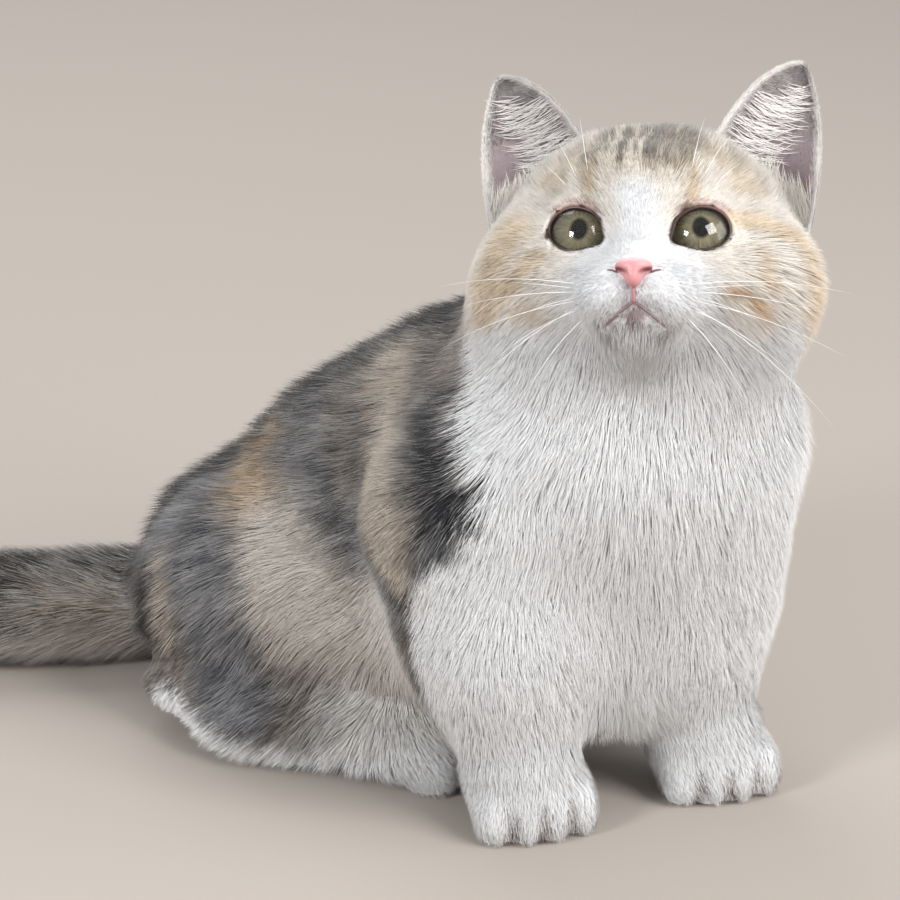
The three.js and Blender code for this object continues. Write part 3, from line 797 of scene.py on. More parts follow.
# The parting under the nose, the lips, and the edges of the nose's wings
PARTING = face_line([(44, 0, -13.6), (44, 0, -16.5), (43.5, 0, -18.6)], 1, 1.5)
LIP = [(43.5, 0.2, -18.4), (42.7, 2.4, -19.8), (41, 5.6, -22.2), (37.5, 9.2, -24.6)]
LIPS = {s: face_line(LIP, s, 1.5) for s in (-1, 1)}
WINGS = {s: face_line([(44.0, 4.2, -10.7), (42.8, 5.4, -10.1), (41.6, 6.5, -9.9)], s, 1.3) for s in (-1, 1)}


def gap_to_mouth(h):
    return np.min([gap_to_line(h, line) for line in (PARTING, *LIPS.values())], axis=0)


nose_solid = blend(
    1.6, ellipsoid((42.9, 0, -9.4), (3.5, 4.6, 2.3)), ellipsoid((43.1, 0, -11.5), (3.1, 2.1, 3.0))
)
PALE, PEACH, RUST = rgb("#efe7dd"), rgb("#e6cfb1"), rgb("#dab78f")
BARK, SAND, MAUVE = rgb("#7b6d5e"), rgb("#d6c6ae"), rgb("#93827f")
# The face turns up to the lamps, so its hair is made this much darker
FACE_SHADE = 0.84
# On the face a stroke is a line of places left of the middle and above it, and a depth is not needed
FACE_STROKES = [
    ([(-21, 18), (-15, 24), (-6, 27)], 5, SAND),
    ([(24, 18), (18, 25), (9, 28)], 5, SAND),
    ([(-13, 18), (-11, 26), (-9, 34)], 1.8, BARK),
    ([(9, 17), (9, 26), (8, 35)], 1.8, BARK * 0.75),
    ([(-12, 11), (-11, 18)], 1.8, SAND * 0.85),
    ([(12, 11), (11, 18)], 1.6, PEACH * 0.8),
    ([(-11, 11), (-11, 16)], 1.4, PEACH * 0.78),
    ([(-30, 4), (-36, -4), (-36, -14)], 5, PEACH),
    ([(-24, -5), (-31, -9)], 2.6, PEACH * 0.95),
    ([(-28, -16), (-22, -19)], 3.5, PEACH),
    ([(22, 7), (29, 6), (36, 3)], 3.0, PEACH),
    ([(38, -1), (40, -9), (37, -17)], 2.8, PEACH),
    ([(28, -2), (29, -8)], 1.8, PEACH),
    ([(21, -11), (25, -12), (28, -15)], 1.9, RUST),
    ([(26, -18), (33, -18)], 2.0, PEACH * 0.95),
]


def face_colour(h):
    q = h[:, 1:] + np.stack([(cloud(h, 2.4, 3, 2) - 0.5) * 3.2, (cloud(h, 6, 4) - 0.5) * 4], 1)
    colour = np.tile(PALE, (len(h), 1))

    def lay(mask, hue):
        nonlocal colour
        colour = colour + mask[:, None] * (hue - colour)

    for line, reach, hue in FACE_STROKES:
        lay(stroke_near(q, line, reach) * 0.85, hue)
    # Thin streaks run back over the crown
    streak = cloud(h * (0.04, 1, 0.04), 1.0, 77) + 0.25 * (cloud(h * (0.1, 1, 0.1), 2.6, 78) - 0.5)
    crown = ramp(h[:, 2], 11, 19) * ramp(np.abs(q[:, 0]), 17, 9)
    lay(crown * 0.6, SAND)
    lay(crown * ramp(streak, 0.36, 0.54) * ramp(h[:, 2], 12, 21) * 0.8, BARK)
    lay(crown * ramp(streak, 0.34, 0.2) * 0.5, PALE)
    top = ramp(h[:, 0], 8, -6) * ramp(h[:, 2], 14, 28) * ramp(np.abs(q[:, 0]), 20, 10)
    lay(top * 0.8, BARK)
    behind = ramp(h[:, 0] + 0.4 * (q[:, 0] - h[:, 1]), -12, -22)
    lay(behind * ramp(h[:, 2], -20, -4), TICKED * 0.7)
    lay(near_ears(h) * 0.6, rgb("#dad5cf"))
    blaze = stroke_near(q, [(0, 9.5), (0.5, 3)], 5.2) * ramp(h[:, 0], 22, 30)
    lay(blaze, WHITE)
    muzzle = ramp(np.hypot(q[:, 0] / 1.25, q[:, 1] + 13), 18, 12) * ramp(h[:, 0], 16, 25)
    lay(muzzle, WHITE)
    jaw = -15 + 3.5 * ramp(np.abs(q[:, 0]), 22, 34)
    lay(ramp(q[:, 1], jaw, jaw - 6), WHITE)
    speckle = ramp(cloud(h, 0.8, 31, 2), 0.42, 0.6)
    lips_near = ramp(gap_to_mouth(h), 5.2, 0.6) * (0.35 + 0.65 * speckle)
    lay(lips_near * 0.68, MAUVE)
    chin = ramp(np.hypot(h[:, 1] / 1.2, h[:, 2] + 24.5), 7, 3) * ramp(h[:, 0], 26, 34)
    lay(chin * (0.05 + 0.22 * speckle), MAUVE)
    lay(ramp(np.linalg.norm((h - (41, 0, -20.9)) / (1.6, 1.5, 1), axis=1), 2.6, 1.2) * 0.85, rgb("#86676b"))
    for side in (-1, 1):
        forward, turn, reach = round_eye(h, side)
        ahead = ramp(forward, -6, -2)
        above = ramp(np.sin(turn), 0.2, 0.75)
        lay(ahead * ramp(reach, LID_HALF + 3.2, LID_HALF + 1.8) * above * 0.7, rgb("#b98f86"))
        lay(ahead * ramp(reach, LID_HALF + 1.3, LID_HALF + 0.6) * 0.7, rgb("#57443e"))
    return colour * FACE_SHADE


# The skin, as a net of cells 1.55 mm wide within a box round the kitten
NET_LOW, NET_HIGH, NET_STEP = (-312, -112, -2), (66, 86, 194), 1.55
skin_form = whole_form(DEPTH)


def skin_with_eyes(p):
    q = head_in(p)
    d = skin_form(p)
    for opening in lid_openings.values():
        d = np.maximum(d, -opening(q))
    return d


skin_verts, skin_faces = net(skin_with_eyes, NET_LOW, NET_HIGH, NET_STEP)
skin_verts = settle(skin_with_eyes, skin_verts, skin_faces, 3, 0.4)
skin = mesh_of("skin", skin_verts, skin_faces)


def unwrapped(obj):
    """The skin's own unwrap, which the coat's roots share."""
    obj.data.uv_layers.new(name="OFBake")
    bpy.context.view_layer.objects.active = obj
    obj.select_set(True)
    bpy.ops.object.mode_set(mode="EDIT")
    bpy.ops.mesh.select_all(action="SELECT")
    bpy.ops.uv.smart_project(angle_limit=66 * DEG, island_margin=0.001)
    bpy.ops.object.mode_set(mode="OBJECT")
    obj.select_set(False)


unwrapped(skin)


def paint(mesh, colours):
    layer = mesh.color_attributes.new("coat_colour", "FLOAT_COLOR", "POINT")
    rgba = np.ones((len(colours), 4), np.float32)
    rgba[:, :3] = colours
    layer.data.foreach_set("color", rgba.ravel())


# Materials
def add(tree, kind, settings=None, inputs=None):
    """A node with its settings; an input is a number, a colour or the socket that feeds it."""
    node = tree.nodes.new(kind)
    for name, value in (settings or {}).items():
        setattr(node, name, value)
    for name, value in (inputs or {}).items():
        socket = node.inputs[name]
        if isinstance(value, bpy.types.NodeSocket):
            tree.links.new(value, socket)
        else:
            socket.default_value = value
    return node


def material(name):
    made = bpy.data.materials.new(name)
    made.use_nodes = True
    made.node_tree.nodes.clear()
    return made, made.node_tree


def output(tree, shader):
    add(tree, "ShaderNodeOutputMaterial", {}, {"Surface": shader})


def colour4(value):
    return (*[float(v) for v in value], 1.0)


# Soft kitten fur: dull and without a sharp gloss, each tuft a shade of its own, and within a tuft
# the single hairs, drawn about 0.3 mm apart so that they show
def fur_material(name, roughness, specular, sheen):
    made, tree = material(name)
    coat = add(tree, "ShaderNodeAttribute", {"attribute_name": "coat_colour"})
    spot = add(tree, "ShaderNodeTexCoord")
    hairs = add(
        tree,
        "ShaderNodeTexNoise",
        {},
        {"Vector": spot.outputs["Object"], "Scale": 2600.0, "Detail": 2.0},
    )
    shade = add(
        tree,
        "ShaderNodeMapRange",
        {},
        {"Value": hairs.outputs["Fac"], "From Min": 0.3, "From Max": 0.7, "To Min": 0.9, "To Max": 1.04},
    )
    tint = add(
        tree,
        "ShaderNodeVectorMath",
        {"operation": "SCALE"},
        {0: coat.outputs["Color"], "Scale": shade.outputs["Result"]},
    )
    surface = add(
        tree,
        "ShaderNodeBsdfPrincipled",
        {},
        {
            "Base Color": tint.outputs["Vector"],
            "Roughness": roughness,
            "Specular IOR Level": specular,
            "Sheen Weight": sheen,
            "Sheen Roughness": 0.6,
        },
    )
    output(tree, surface.outputs["BSDF"])
    return made


fur = fur_material("soft_kitten_fur", 0.85, 0.12, 0.14)
FLESH = [
    "head", "neck", "chest", "loin", "rump", "tail_base", "tail_middle", "tail_tip",
    "forepaw_right", "foreleg_right", "hindpaw_right", "thigh_right",
    "forepaw_left", "foreleg_left", "hindpaw_left", "thigh_left",
]
skin_paint = coat_colour(skin_verts)
skin_in_head = head_in(skin_verts)
for side, opening in lid_openings.items():
    at_eye = np.linalg.norm(skin_in_head - eye_middle(side), axis=1) < 14
    skin_paint[at_eye & (np.abs(opening(skin_in_head)) < 0.8)] = rgb("#40302c")
paint(skin.data, skin_paint)
finished(skin, fur, FLESH)


# Tufts. Each has a three-sided foot and one point; a longer one has a waist between them.
RING = np.array([(1, 0), (-1, 0), (0, 1)], float)
TUFT_THICKNESS = 0.3
LONG_UV = np.array([(-14, -14), (14, -14), (0, -6), (-8, 2), (8, 2), (0, 6), (0, 14)], float) * 1e-4
LONG_FACES = np.array(
    [
        (0, 1, 2), (0, 2, 5), (0, 5, 3), (2, 1, 4), (2, 4, 5), (1, 0, 3), (1, 3, 4), (3, 5, 6), (5, 4, 6),
        (4, 3, 6),
    ]
)
SHORT_UV = np.array([(-14, -14), (14, -14), (0, -2), (0, 14)], float) * 1e-4
SHORT_FACES = np.array([(0, 1, 2), (0, 2, 3), (2, 1, 3), (1, 0, 3)])


def tufts(name, t, waisted=False):
    """One mesh of the tufts in t: foot, waist and tip with out, across, width, colours and uv.

    Their normals lean with the skin below them, so that the coat is lit as one soft surface.
    """
    n = len(t["foot"])
    stations = [("foot", 0.85, "shaded_foot_colour")] + ([("waist", 1.0, "colour")] if waisted else [])
    size = 7 if waisted else 4
    points, normals, shades = np.empty((n, size, 3)), np.empty((n, size, 3)), np.empty((n, size, 3))
    half = 0.5 * t["width"][:, None]
    for ring, (where, share, hue) in enumerate(stations):
        for j, (a, b) in enumerate(RING):
            k = ring * 3 + j
            rise = t["out"] * (b * TUFT_THICKNESS * half * share)
            points[:, k] = t[where] + t["across"] * (a * half * share) + rise
            normals[:, k] = t["out"] + 0.22 * a * t["across"] + 0.1 * b * t["out"]
            shades[:, k] = t[hue]
    points[:, -1] = t["tip"]
    normals[:, -1] = t["out"] + 0.15 * t["lie"]
    shades[:, -1] = t["tip_colour"]
    points[:, :, 2] = np.maximum(points[:, :, 2], TUFT_FLOOR_GAP)
    pattern, patch = (LONG_FACES, LONG_UV) if waisted else (SHORT_FACES, SHORT_UV)
    faces = (np.arange(n)[:, None, None] * size + pattern[None]).reshape(-1, 3)
    made = mesh_of(name, points.reshape(-1, 3), faces)
    paint(made.data, shades.reshape(-1, 3))
    layer = made.data.attributes.new("custom_normal", "FLOAT_VECTOR", "POINT")
    layer.data.foreach_set("vector", unit(normals).astype(np.float32).ravel())
    unwrap = made.data.uv_layers.new(name="OFBake")
    uv = t["uv"][:, None, None, :] + patch[pattern][None]
    unwrap.data.foreach_set("uv", uv.astype(np.float32).ravel())
    return finished(made, fur)


def chosen(t, mask):
    return {key: value[mask] for key, value in t.items()}


def shaded(colour, p, silver_share=0.42):
    """Foot, middle and tip colours: dark hair varies most from tuft to tuft, and some of it is silver. The
    foot is darker, painted shade deep in the coat.
    """
    n = len(colour)
    darkness = 1 - colour.mean(1, keepdims=True)
    patchy = 0.75 * (cloud(p * (0.5, 1, 1), 2.2, 41, 3)[:, None] - 0.5)
    tone = dice.uniform(0.45, 1.4, (n, 1)) + 2.6 * patchy
    hair = colour * (1 + (tone - 1) * (0.1 + 1.3 * darkness**2))
    grizzled = ramp(darkness, 0.55, 0.9) * (1 - 0.85 * ramp(darkness, 0.91, 0.975))
    silver = (dice.random((n, 1)) < (silver_share + 2.2 * patchy) * grizzled) * 1.0
    hair = hair + silver * (rgb("#b4b1ae") - hair) * 0.6
    dark_tip = 1 - 0.65 * ramp(darkness, 0.5, 0.9) * dice.random((n, 1))
    return dict(
        # The foot is darkened as painted shade deep in the coat, most on dark hair
        shaded_foot_colour=hair * (0.97 - 0.25 * ramp(darkness, 0.3, 0.8)),
        colour=hair,
        tip_colour=np.clip(hair * dark_tip * 1.03, 0, 0.93),
    )


# The coat: tufts that root in the skin and lie along it out to the coat's own surface
skin.data.calc_loop_triangles()
tri_count = len(skin.data.loop_triangles)
tri_verts, tri_loops = np.empty(tri_count * 3, np.int32), np.empty(tri_count * 3, np.int32)
skin.data.loop_triangles.foreach_get("vertices", tri_verts)
skin.data.loop_triangles.foreach_get("loops", tri_loops)
tri_verts, tri_loops = tri_verts.reshape(-1, 3), tri_loops.reshape(-1, 3)
loop_uv = np.empty(len(skin.data.loops) * 2, np.float32)
skin.data.uv_layers["OFBake"].data.foreach_get("uv", loop_uv)
loop_uv = loop_uv.reshape(-1, 2)
corner = skin_verts[tri_verts]
tri_area = 0.5 * np.linalg.norm(np.cross(corner[:, 1] - corner[:, 0], corner[:, 2] - corner[:, 0]), axis=1)
tri_middle = corner.mean(1)
outer_form = whole_form({k: 0.0 for k in DEPTH})


def coat_numbers(p):
    """Length, width, stand, density and clumping of the coat at each place."""
    share = kind_shares(p)
    sizes = {key: share @ np.array([COAT[k][key] for k in KINDS]) for key in COAT["trunk"]}
    h = head_in(p)
    head = share[:, KINDS.index("head")]
    face = head * ramp(h[:, 0], 4, 22)
    cheek = head * ramp(h[:, 1], 22, 34) * ramp(h[:, 2], 16, 2)
    flat_cheek = head * ramp(h[:, 1], -22, -34) * ramp(h[:, 2], 16, 2)
    muzzle = head * ramp(np.hypot(h[:, 1] / 1.3, h[:, 2] + 12), 19, 12) * ramp(h[:, 0], 22, 32)
    bridge = head * ramp(np.abs(h[:, 1]), 11, 6) * ramp(h[:, 0], 28, 34)
    chin = head * ramp(h[:, 2], -20, -25) * ramp(h[:, 0], 6, 16)
    eye = np.max([ramp(np.linalg.norm(h - eye_middle(s), axis=1), 14.5, 10.5) for s in (-1, 1)], axis=0)
    lip = head * ramp(gap_to_mouth(h), 3.0, 1.2)
    jaw = head * ramp(h[:, 2], -12, -22) * ramp(h[:, 0], 26, 12)
    temple = head * near_ears(h)
    for mask, length, width, proud, density in (
        (face, 3.8, 0.28, 0.15, 6.5),
        (cheek, 7.5, 0.34, 1.3, 4.5),
        (flat_cheek, 5.5, 0.32, 0.1, 5.0),
        (jaw, 9.0, 0.34, 0.6, 4.6),
        (temple, 6.5, 0.22, 1.4, 6.0),
        (muzzle, 2.4, 0.24, 0.1, 7.5),
        (bridge, 2.0, 0.22, 0.02, 7.5),
        (chin, 5.0, 0.3, 0.5, 6.0),
        (eye, 1.5, 0.2, 0.0, 8.0),
        (lip, 1.4, 0.22, 0.0, 7.5),
    ):
        for key, value in (("length", length), ("width", width), ("proud", proud), ("density", density)):
            sizes[key] = sizes[key] * (1 - mask) + value * mask
    trunk = share[:, KINDS.index("trunk")]
    bib = trunk * ramp(p[:, 0], -8, 14) * ramp(p[:, 2], 30, 50)
    fringe = trunk * ramp(p[:, 2], 26, 12) * ramp(p[:, 0], -40, -60)
    brisket = trunk * ramp(p[:, 0], -6, 4) * ramp(p[:, 2], 50, 34)
    rear = trunk * ramp(p[:, 0], -92, -106) * ramp(p[:, 2], 36, 24)
    crest = trunk * stroke_near(p, SPINE + (0, -4, 0), 15)
    length = sizes["length"] + 2.5 * bib - 1 * fringe + 8 * brisket + 2 * crest
    sizes["length"] = length * (1 - 0.55 * rear)
    sizes["proud"] = (sizes["proud"] + 0.15 * bib + 2.2 * crest) * (1 - rear)
    sizes["clump"] = sizes["clump"] - 0.05 * bib
    sizes["flat"] = 0.7 * rear
    return sizes


# No hair grows on the soles, below this height
SOLE_HEIGHT = 2.4
expected = tri_area * coat_numbers(tri_middle)["density"] * (tri_middle[:, 2] > SOLE_HEIGHT)
THIN = 1.0
how_many = dice.poisson(expected * THIN)
tri_of = np.repeat(np.arange(tri_count), how_many)
bary = dice.random((len(tri_of), 2))
flip = bary.sum(1) > 1
bary[flip] = 1 - bary[flip]
bary = np.column_stack([1 - bary.sum(1), bary])
root = (corner[tri_of] * bary[:, :, None]).sum(1)
root_uv = (loop_uv[tri_loops[tri_of]] * bary[:, :, None]).sum(1)
count = len(root)

out = unit(slope(skin_form, root))
share = kind_shares(root)
on_head, on_tail = share[:, [KINDS.index("head")]], share[:, [KINDS.index("tail")]]
lie = lie_on_body(root) * (1 - on_head - on_tail) + lie_on_head(root) * on_head + lie_on_tail(root) * on_tail
lie = unit(lie - (lie * out).sum(1, keepdims=True) * out)
across = np.cross(out, lie)
swirl = (cloud(root, 9, 21, 2) - 0.5) * 0.9 + dice.normal(0, 0.15, count)
swirl = swirl * (1 - 0.5 * on_head[:, 0])
lie = lie * np.cos(swirl)[:, None] + across * np.sin(swirl)[:, None]
across = np.cross(out, lie)

sizes = coat_numbers(root)
depth_here = np.clip(-outer_form(root), 0.3, 8)
hair_length = sizes["length"] * dice.uniform(0.72, 1.2, count)
rise = depth_here * dice.uniform(0.75, 1.05, count) + sizes["proud"] * dice.uniform(0.0, 1.6, count)
rise = np.minimum(rise, 0.6 * hair_length) * (1 - sizes["flat"])


def path(s, sink=0.4):
    """Each tuft at a share s of its length: it starts in the skin, rises fast and then lies along it."""
    height = -sink + (rise + sink) * (1 - (1 - s) ** 1.7)
    return root + lie * (hair_length * s)[:, None] + out * height[:, None]


foot, waist, tip = path(0.0), path(0.48), path(1.0)
# Neighbouring tufts lean to one of them, so that the coat parts into soft locks
TUFTS_TO_A_LOCK = 30
leaders = dice.choice(count, count // TUFTS_TO_A_LOCK, replace=False)
leader_finder = KDTree(len(leaders))
for i, leader in enumerate(leaders):
    leader_finder.insert(root[leader], i)
leader_finder.balance()
leader_of = leaders[[leader_finder.find(p)[1] for p in root]]
apart = np.linalg.norm(root - root[leader_of], axis=1)
pull = sizes["clump"] * ramp(apart, 9, 4)
tip = tip + (tip[leader_of] - tip) * pull[:, None]
waist = waist + (waist[leader_of] - waist) * (pull * 0.3)[:, None]

# No tuft crosses an eye, the nose or the line of the mouth
keep = np.ones(count, bool)
for spot in (foot, waist, tip):
    h_spot = head_in(spot)
    for side in (-1, 1):
        forward, _, reach = round_eye(h_spot, side)
        keep &= ~((reach < LID_HALF + 0.9) & (forward > -5) & (forward < 14))
    keep &= nose_solid(h_spot) > -0.1
    keep &= gap_to_mouth(h_spot) > 0.42
    keep &= np.min([gap_to_line(h_spot, w) for w in WINGS.values()], axis=0) > 0.5

h_root = head_in(root)
top_kind = share.argmax(1)
is_head = top_kind == KINDS.index("head")
short = (hair_length < 4.4) & (is_head | (top_kind == KINDS.index("paw")))
coat = dict(
    foot=foot, waist=waist, tip=tip, out=out, lie=lie, across=across, uv=root_uv,
    width=sizes["width"] * dice.uniform(0.75, 1.25, count),
    **shaded(coat_colour(root + dice.normal(0, 1.1, root.shape) * (1 - 0.6 * on_head)), root),
)
left = root[:, 1] > 11 + 0.1 * (root[:, 0] + 60)
# Each piece of the coat takes what is left of its region by those before it
REGIONS = {
    "face": is_head & short & (h_root[:, 1] < 0),
    "face_left": is_head & short & (h_root[:, 1] >= 0),
    "head_right": is_head & ~short & (h_root[:, 1] < 0),
    "head_left": is_head & ~short & (h_root[:, 1] >= 0),
    "paws": short & ~is_head,
    "tail": (top_kind == KINDS.index("tail")),
    "leg_right": (top_kind != KINDS.index("trunk")) & ~left,
    "leg_left": (top_kind != KINDS.index("trunk")) & left,
    "haunch_right": (root[:, 0] < -62) & (root[:, 2] < 52) & ~left,
    "haunch_left": (root[:, 0] < -62) & (root[:, 2] < 52) & left,
    "chest_right": (root[:, 0] > -12) & ~left,
    "chest_left": (root[:, 0] > -12) & left,
    "flank_right": ~left,
    "flank_left": left,
}
for name, mask in REGIONS.items():
    own = np.flatnonzero(keep & mask)
    keep &= ~mask
    tufts("coat_" + name, chosen(coat, own[np.argsort(root[own, 0])]))


# Closed tubes and turned forms
def tube(line, radii, sides):
    """Rings around a line of places."""
    ahead = unit(np.gradient(line, axis=0))
    level = unit(np.cross(np.array([0.3, 0.2, 1.0]), ahead))
    top = np.cross(ahead, level)
    turn = np.linspace(0, 2 * math.pi, sides, endpoint=False)
    ring = level[:, None] * np.cos(turn)[None, :, None] + top[:, None] * np.sin(turn)[None, :, None]
    return line[:, None] + ring * radii[:, None, None]


def ring_faces(rows, sides, first=0, looped=False):
    """Four-sided faces from ring to ring, and from the last to the first where looped."""
    a = np.arange(rows if looped else rows - 1)
    b = (a + 1) % rows
    j = np.arange(sides)
    k = (j + 1) % sides
    quads = np.stack(
        [
            a[:, None] * sides + j,
            a[:, None] * sides + k,
            b[:, None] * sides + k,
            b[:, None] * sides + j,
        ],
        -1,
    )
    return quads.reshape(-1, 4) + first


def close(obj):
    """Welds what meets, closes open ends and turns all faces outwards."""
    made = bmesh.new()
    made.from_mesh(obj.data)
    bmesh.ops.remove_doubles(made, verts=made.verts, dist=1e-6)
    rims = [e for e in made.edges if e.is_boundary]
    if rims:
        bmesh.ops.holes_fill(made, edges=rims, sides=0)
    bmesh.ops.recalc_face_normals(made, faces=made.faces)
    made.to_mesh(obj.data)
    made.free()
    obj.data.shade_smooth()
    return obj


# Eyes: a ball with a raised iris round a dark pupil, under a clear domed front
NAMES = {-1: "right", 1: "left"}
LOOK = {-1: turned(-6.5 * DEG, 2.5 * DEG), 1: turned(10 * DEG, 5.5 * DEG)}
PUPIL = (1.8, 2.35)
IRIS_RADIUS = 8.0


def eye_out(g, side):
    return head_out(g @ LOOK[side].T + eye_middle(side))


def eye_ring(forward, half_width, half_height, turn):
    """A ring of places round the line of sight."""
    level = np.full(len(turn), forward)
    return np.stack([level, half_width * np.cos(turn), half_height * np.sin(turn)], 1)


def eye_ball(side):
    around, ball = 72, EYE_RADIUS - 0.35
    turn = np.linspace(0, 2 * math.pi, around, endpoint=False)
    rim = math.asin(IRIS_RADIUS / ball)
    rings, reach = [], []
    for a in np.linspace(math.pi - 0.02, rim, 22):
        rings.append(eye_ring(ball * math.cos(a), ball * math.sin(a), ball * math.sin(a), turn))
        reach.append(1 + (a - rim))
    edge = ball * math.cos(rim)
    for t in np.linspace(0, 1, 16)[1:]:
        y = IRIS_RADIUS * (1 - t) + PUPIL[0] * t
        z = IRIS_RADIUS * (1 - t) + PUPIL[1] * t
        rings.append(eye_ring(edge + 3 * (1 - (y / IRIS_RADIUS) ** 2), y, z, turn))
        reach.append(1 - t)
    for t in (0.5, 1.0):
        rings.append(eye_ring(edge + 2.8 - 1.6 * t, PUPIL[0] * (1 - 0.9 * t), PUPIL[1] * (1 - 0.9 * t), turn))
        reach.append(-t)
    n = len(rings)
    obj = mesh_of("eye_ball_" + NAMES[side], eye_out(np.concatenate(rings), side), ring_faces(n, around))
    spokes = np.stack([np.tile(np.cos(turn), n), np.tile(np.sin(turn), n), np.repeat(reach, around)], 1)
    layer = obj.data.attributes.new("iris_place", "FLOAT_VECTOR", "POINT")
    layer.data.foreach_set("vector", spokes.astype(np.float32).ravel())
    return close(obj)


def eye_dome(side):
    """The clear front as a closed shell half a millimetre thick, a little domed in the middle."""
    around, edge = 48, 1.02
    turn = np.linspace(0, 2 * math.pi, around, endpoint=False)
    rings = []
    for radius in (EYE_RADIUS, EYE_RADIUS - 0.45):
        shell = []
        for a in np.linspace(0.02, edge, 16):
            r = radius + 0.35 * (1 - (a / edge) ** 2)
            shell.append(eye_ring(r * math.cos(a), r * math.sin(a), r * math.sin(a), turn))
        rings += shell if radius == EYE_RADIUS else shell[::-1]
    places = eye_out(np.concatenate(rings), side)
    return close(mesh_of("eye_front_" + NAMES[side], places, ring_faces(len(rings), around)))


# Living iris: dull fibres that run out from the pupil, olive grey, with a dark rim round the coloured part
def iris_material():
    made, tree = material("moist_iris_tissue")
    spot = add(tree, "ShaderNodeAttribute", {"attribute_name": "iris_place"})
    parts = add(tree, "ShaderNodeSeparateXYZ", {}, {"Vector": spot.outputs["Vector"]})
    spread = add(
        tree,
        "ShaderNodeVectorMath",
        {"operation": "MULTIPLY"},
        {0: spot.outputs["Vector"], 1: (9.0, 9.0, 1.6)},
    )
    fibres = add(
        tree, "ShaderNodeTexNoise", {}, {"Vector": spread.outputs["Vector"], "Scale": 1.6, "Detail": 4.0}
    )
    bands = add(tree, "ShaderNodeValToRGB", {}, {"Fac": parts.outputs["Z"]})
    stops = bands.color_ramp.elements
    stops[0].position, stops[0].color = 0.0, colour4(rgb("#15120e"))
    stops[1].position, stops[1].color = 1.0, colour4(rgb("#191512"))
    for at, code in (
        (0.03, "#453f31"), (0.14, "#8a8166"), (0.45, "#7d765e"), (0.8, "#6d6650"), (0.95, "#332d24"),
    ):
        stops.new(at).color = colour4(rgb(code))
    shade = add(
        tree,
        "ShaderNodeMapRange",
        {},
        {"Value": fibres.outputs["Fac"], "From Min": 0.3, "From Max": 0.7, "To Min": 0.72, "To Max": 1.3},
    )
    tint = add(
        tree,
        "ShaderNodeVectorMath",
        {"operation": "SCALE"},
        {0: bands.outputs["Color"], "Scale": shade.outputs["Result"]},
    )
    dent = add(
        tree, "ShaderNodeBump", {}, {"Height": fibres.outputs["Fac"], "Strength": 0.4, "Distance": 0.0003}
    )
    surface = add(
        tree,
        "ShaderNodeBsdfPrincipled",
        {},
        {
            "Base Color": tint.outputs["Vector"],
            "Roughness": 0.6,
            "Specular IOR Level": 0.1,
            "Normal": dent.outputs["Normal"],
        },
    )
    output(tree, surface.outputs["BSDF"])
    return made


# Clear cornea: as water, it bends light a little and mirrors the lamps sharply
def cornea_material():
    made, tree = material("clear_wet_cornea")
    surface = add(
        tree,
        "ShaderNodeBsdfPrincipled",
        {},
        {
            "Base Color": (1, 1, 1, 1),
            "Roughness": 0.02,
            "IOR": 1.376,
            "Transmission Weight": 1.0,
        },
    )
    output(tree, surface.outputs["BSDF"])
    return made


# Bare moist skin of lids, lips and nose: colours laid by place, a fine pebble 0.4 mm across, a soft shine
def bare_skin_material(name, roughness, pebble, depth):
    made, tree = material(name)
    laid = add(tree, "ShaderNodeAttribute", {"attribute_name": "coat_colour"})
    spot = add(tree, "ShaderNodeTexCoord")
    cells = add(
        tree, "ShaderNodeTexVoronoi", {}, {"Vector": spot.outputs["Object"], "Scale": 1000.0 / pebble}
    )
    dent = add(
        tree, "ShaderNodeBump", {}, {"Height": cells.outputs["Distance"], "Strength": 0.5, "Distance": depth}
    )
    surface = add(
        tree,
        "ShaderNodeBsdfPrincipled",
        {},
        {
            "Base Color": laid.outputs["Color"],
            "Roughness": roughness,
            "Subsurface Weight": 0.25,
            "Subsurface Radius": (1.0, 0.35, 0.25),
            "Subsurface Scale": 0.0012,
            "Normal": dent.outputs["Normal"],
        },
    )
    output(tree, surface.outputs["BSDF"])
    return made


iris, cornea = iris_material(), cornea_material()
wet_skin = bare_skin_material("moist_lid_skin", 0.35, 0.5, 0.00005)
nose_leather = bare_skin_material("moist_nose_leather", 0.38, 0.55, 0.00012)
for side in (-1, 1):
    finished(eye_ball(side), iris, ["eye_" + NAMES[side]])
    finished(eye_dome(side), cornea)


def lid_rim(side):
    """The bare edge of the lids, thicker above, drawn out to a dark inner corner."""
    along, around = 72, 10
    turn = np.linspace(0, 2 * math.pi, along, endpoint=False)
    reach = inner_corner(turn, side)
    forward = np.full(along, -0.5)
    for _ in range(30):
        half = (LID_HALF + LID_FLARE * forward + 0.15) * reach
        g = np.stack([forward, half * np.cos(turn), half * np.sin(turn) * LID_TALL], 1)
        q = g @ GAZE[side].T + lid_middle(side)
        away = np.linalg.norm(q - eye_middle(side), axis=1)
        forward = forward + 0.7 * (EYE_RADIUS + 0.55 - away)
    forward = np.clip(forward, -4, 4)
    ahead = unit(np.roll(q, -1, 0) - np.roll(q, 1, 0))
    outward = unit(q - eye_middle(side))
    level = unit(np.cross(ahead, outward))
    thick = 0.36 + 0.08 * np.clip(np.sin(turn), 0, 1) + 0.25 * (reach - 1) / LID_CORNER
    spin = np.linspace(0, 2 * math.pi, around, endpoint=False)[None, :, None]
    ring = level[:, None] * np.cos(spin) + 0.8 * outward[:, None] * np.sin(spin)
    ring = q[:, None] + thick[:, None, None] * ring
    obj = mesh_of("lid_" + NAMES[side], head_out(ring.reshape(-1, 3)), ring_faces(along, around, looped=True))
    close(obj)
    at_corner = ((reach - 1) / LID_CORNER)[:, None]
    shade = rgb("#3a2b28") + np.clip(np.sin(turn), 0, 1)[:, None] * (rgb("#5a3e38") - rgb("#3a2b28"))
    shade = shade + at_corner * (rgb("#35262e") - shade)
    paint(obj.data, np.repeat(shade, around, 0))
    return finished(obj, wet_skin)


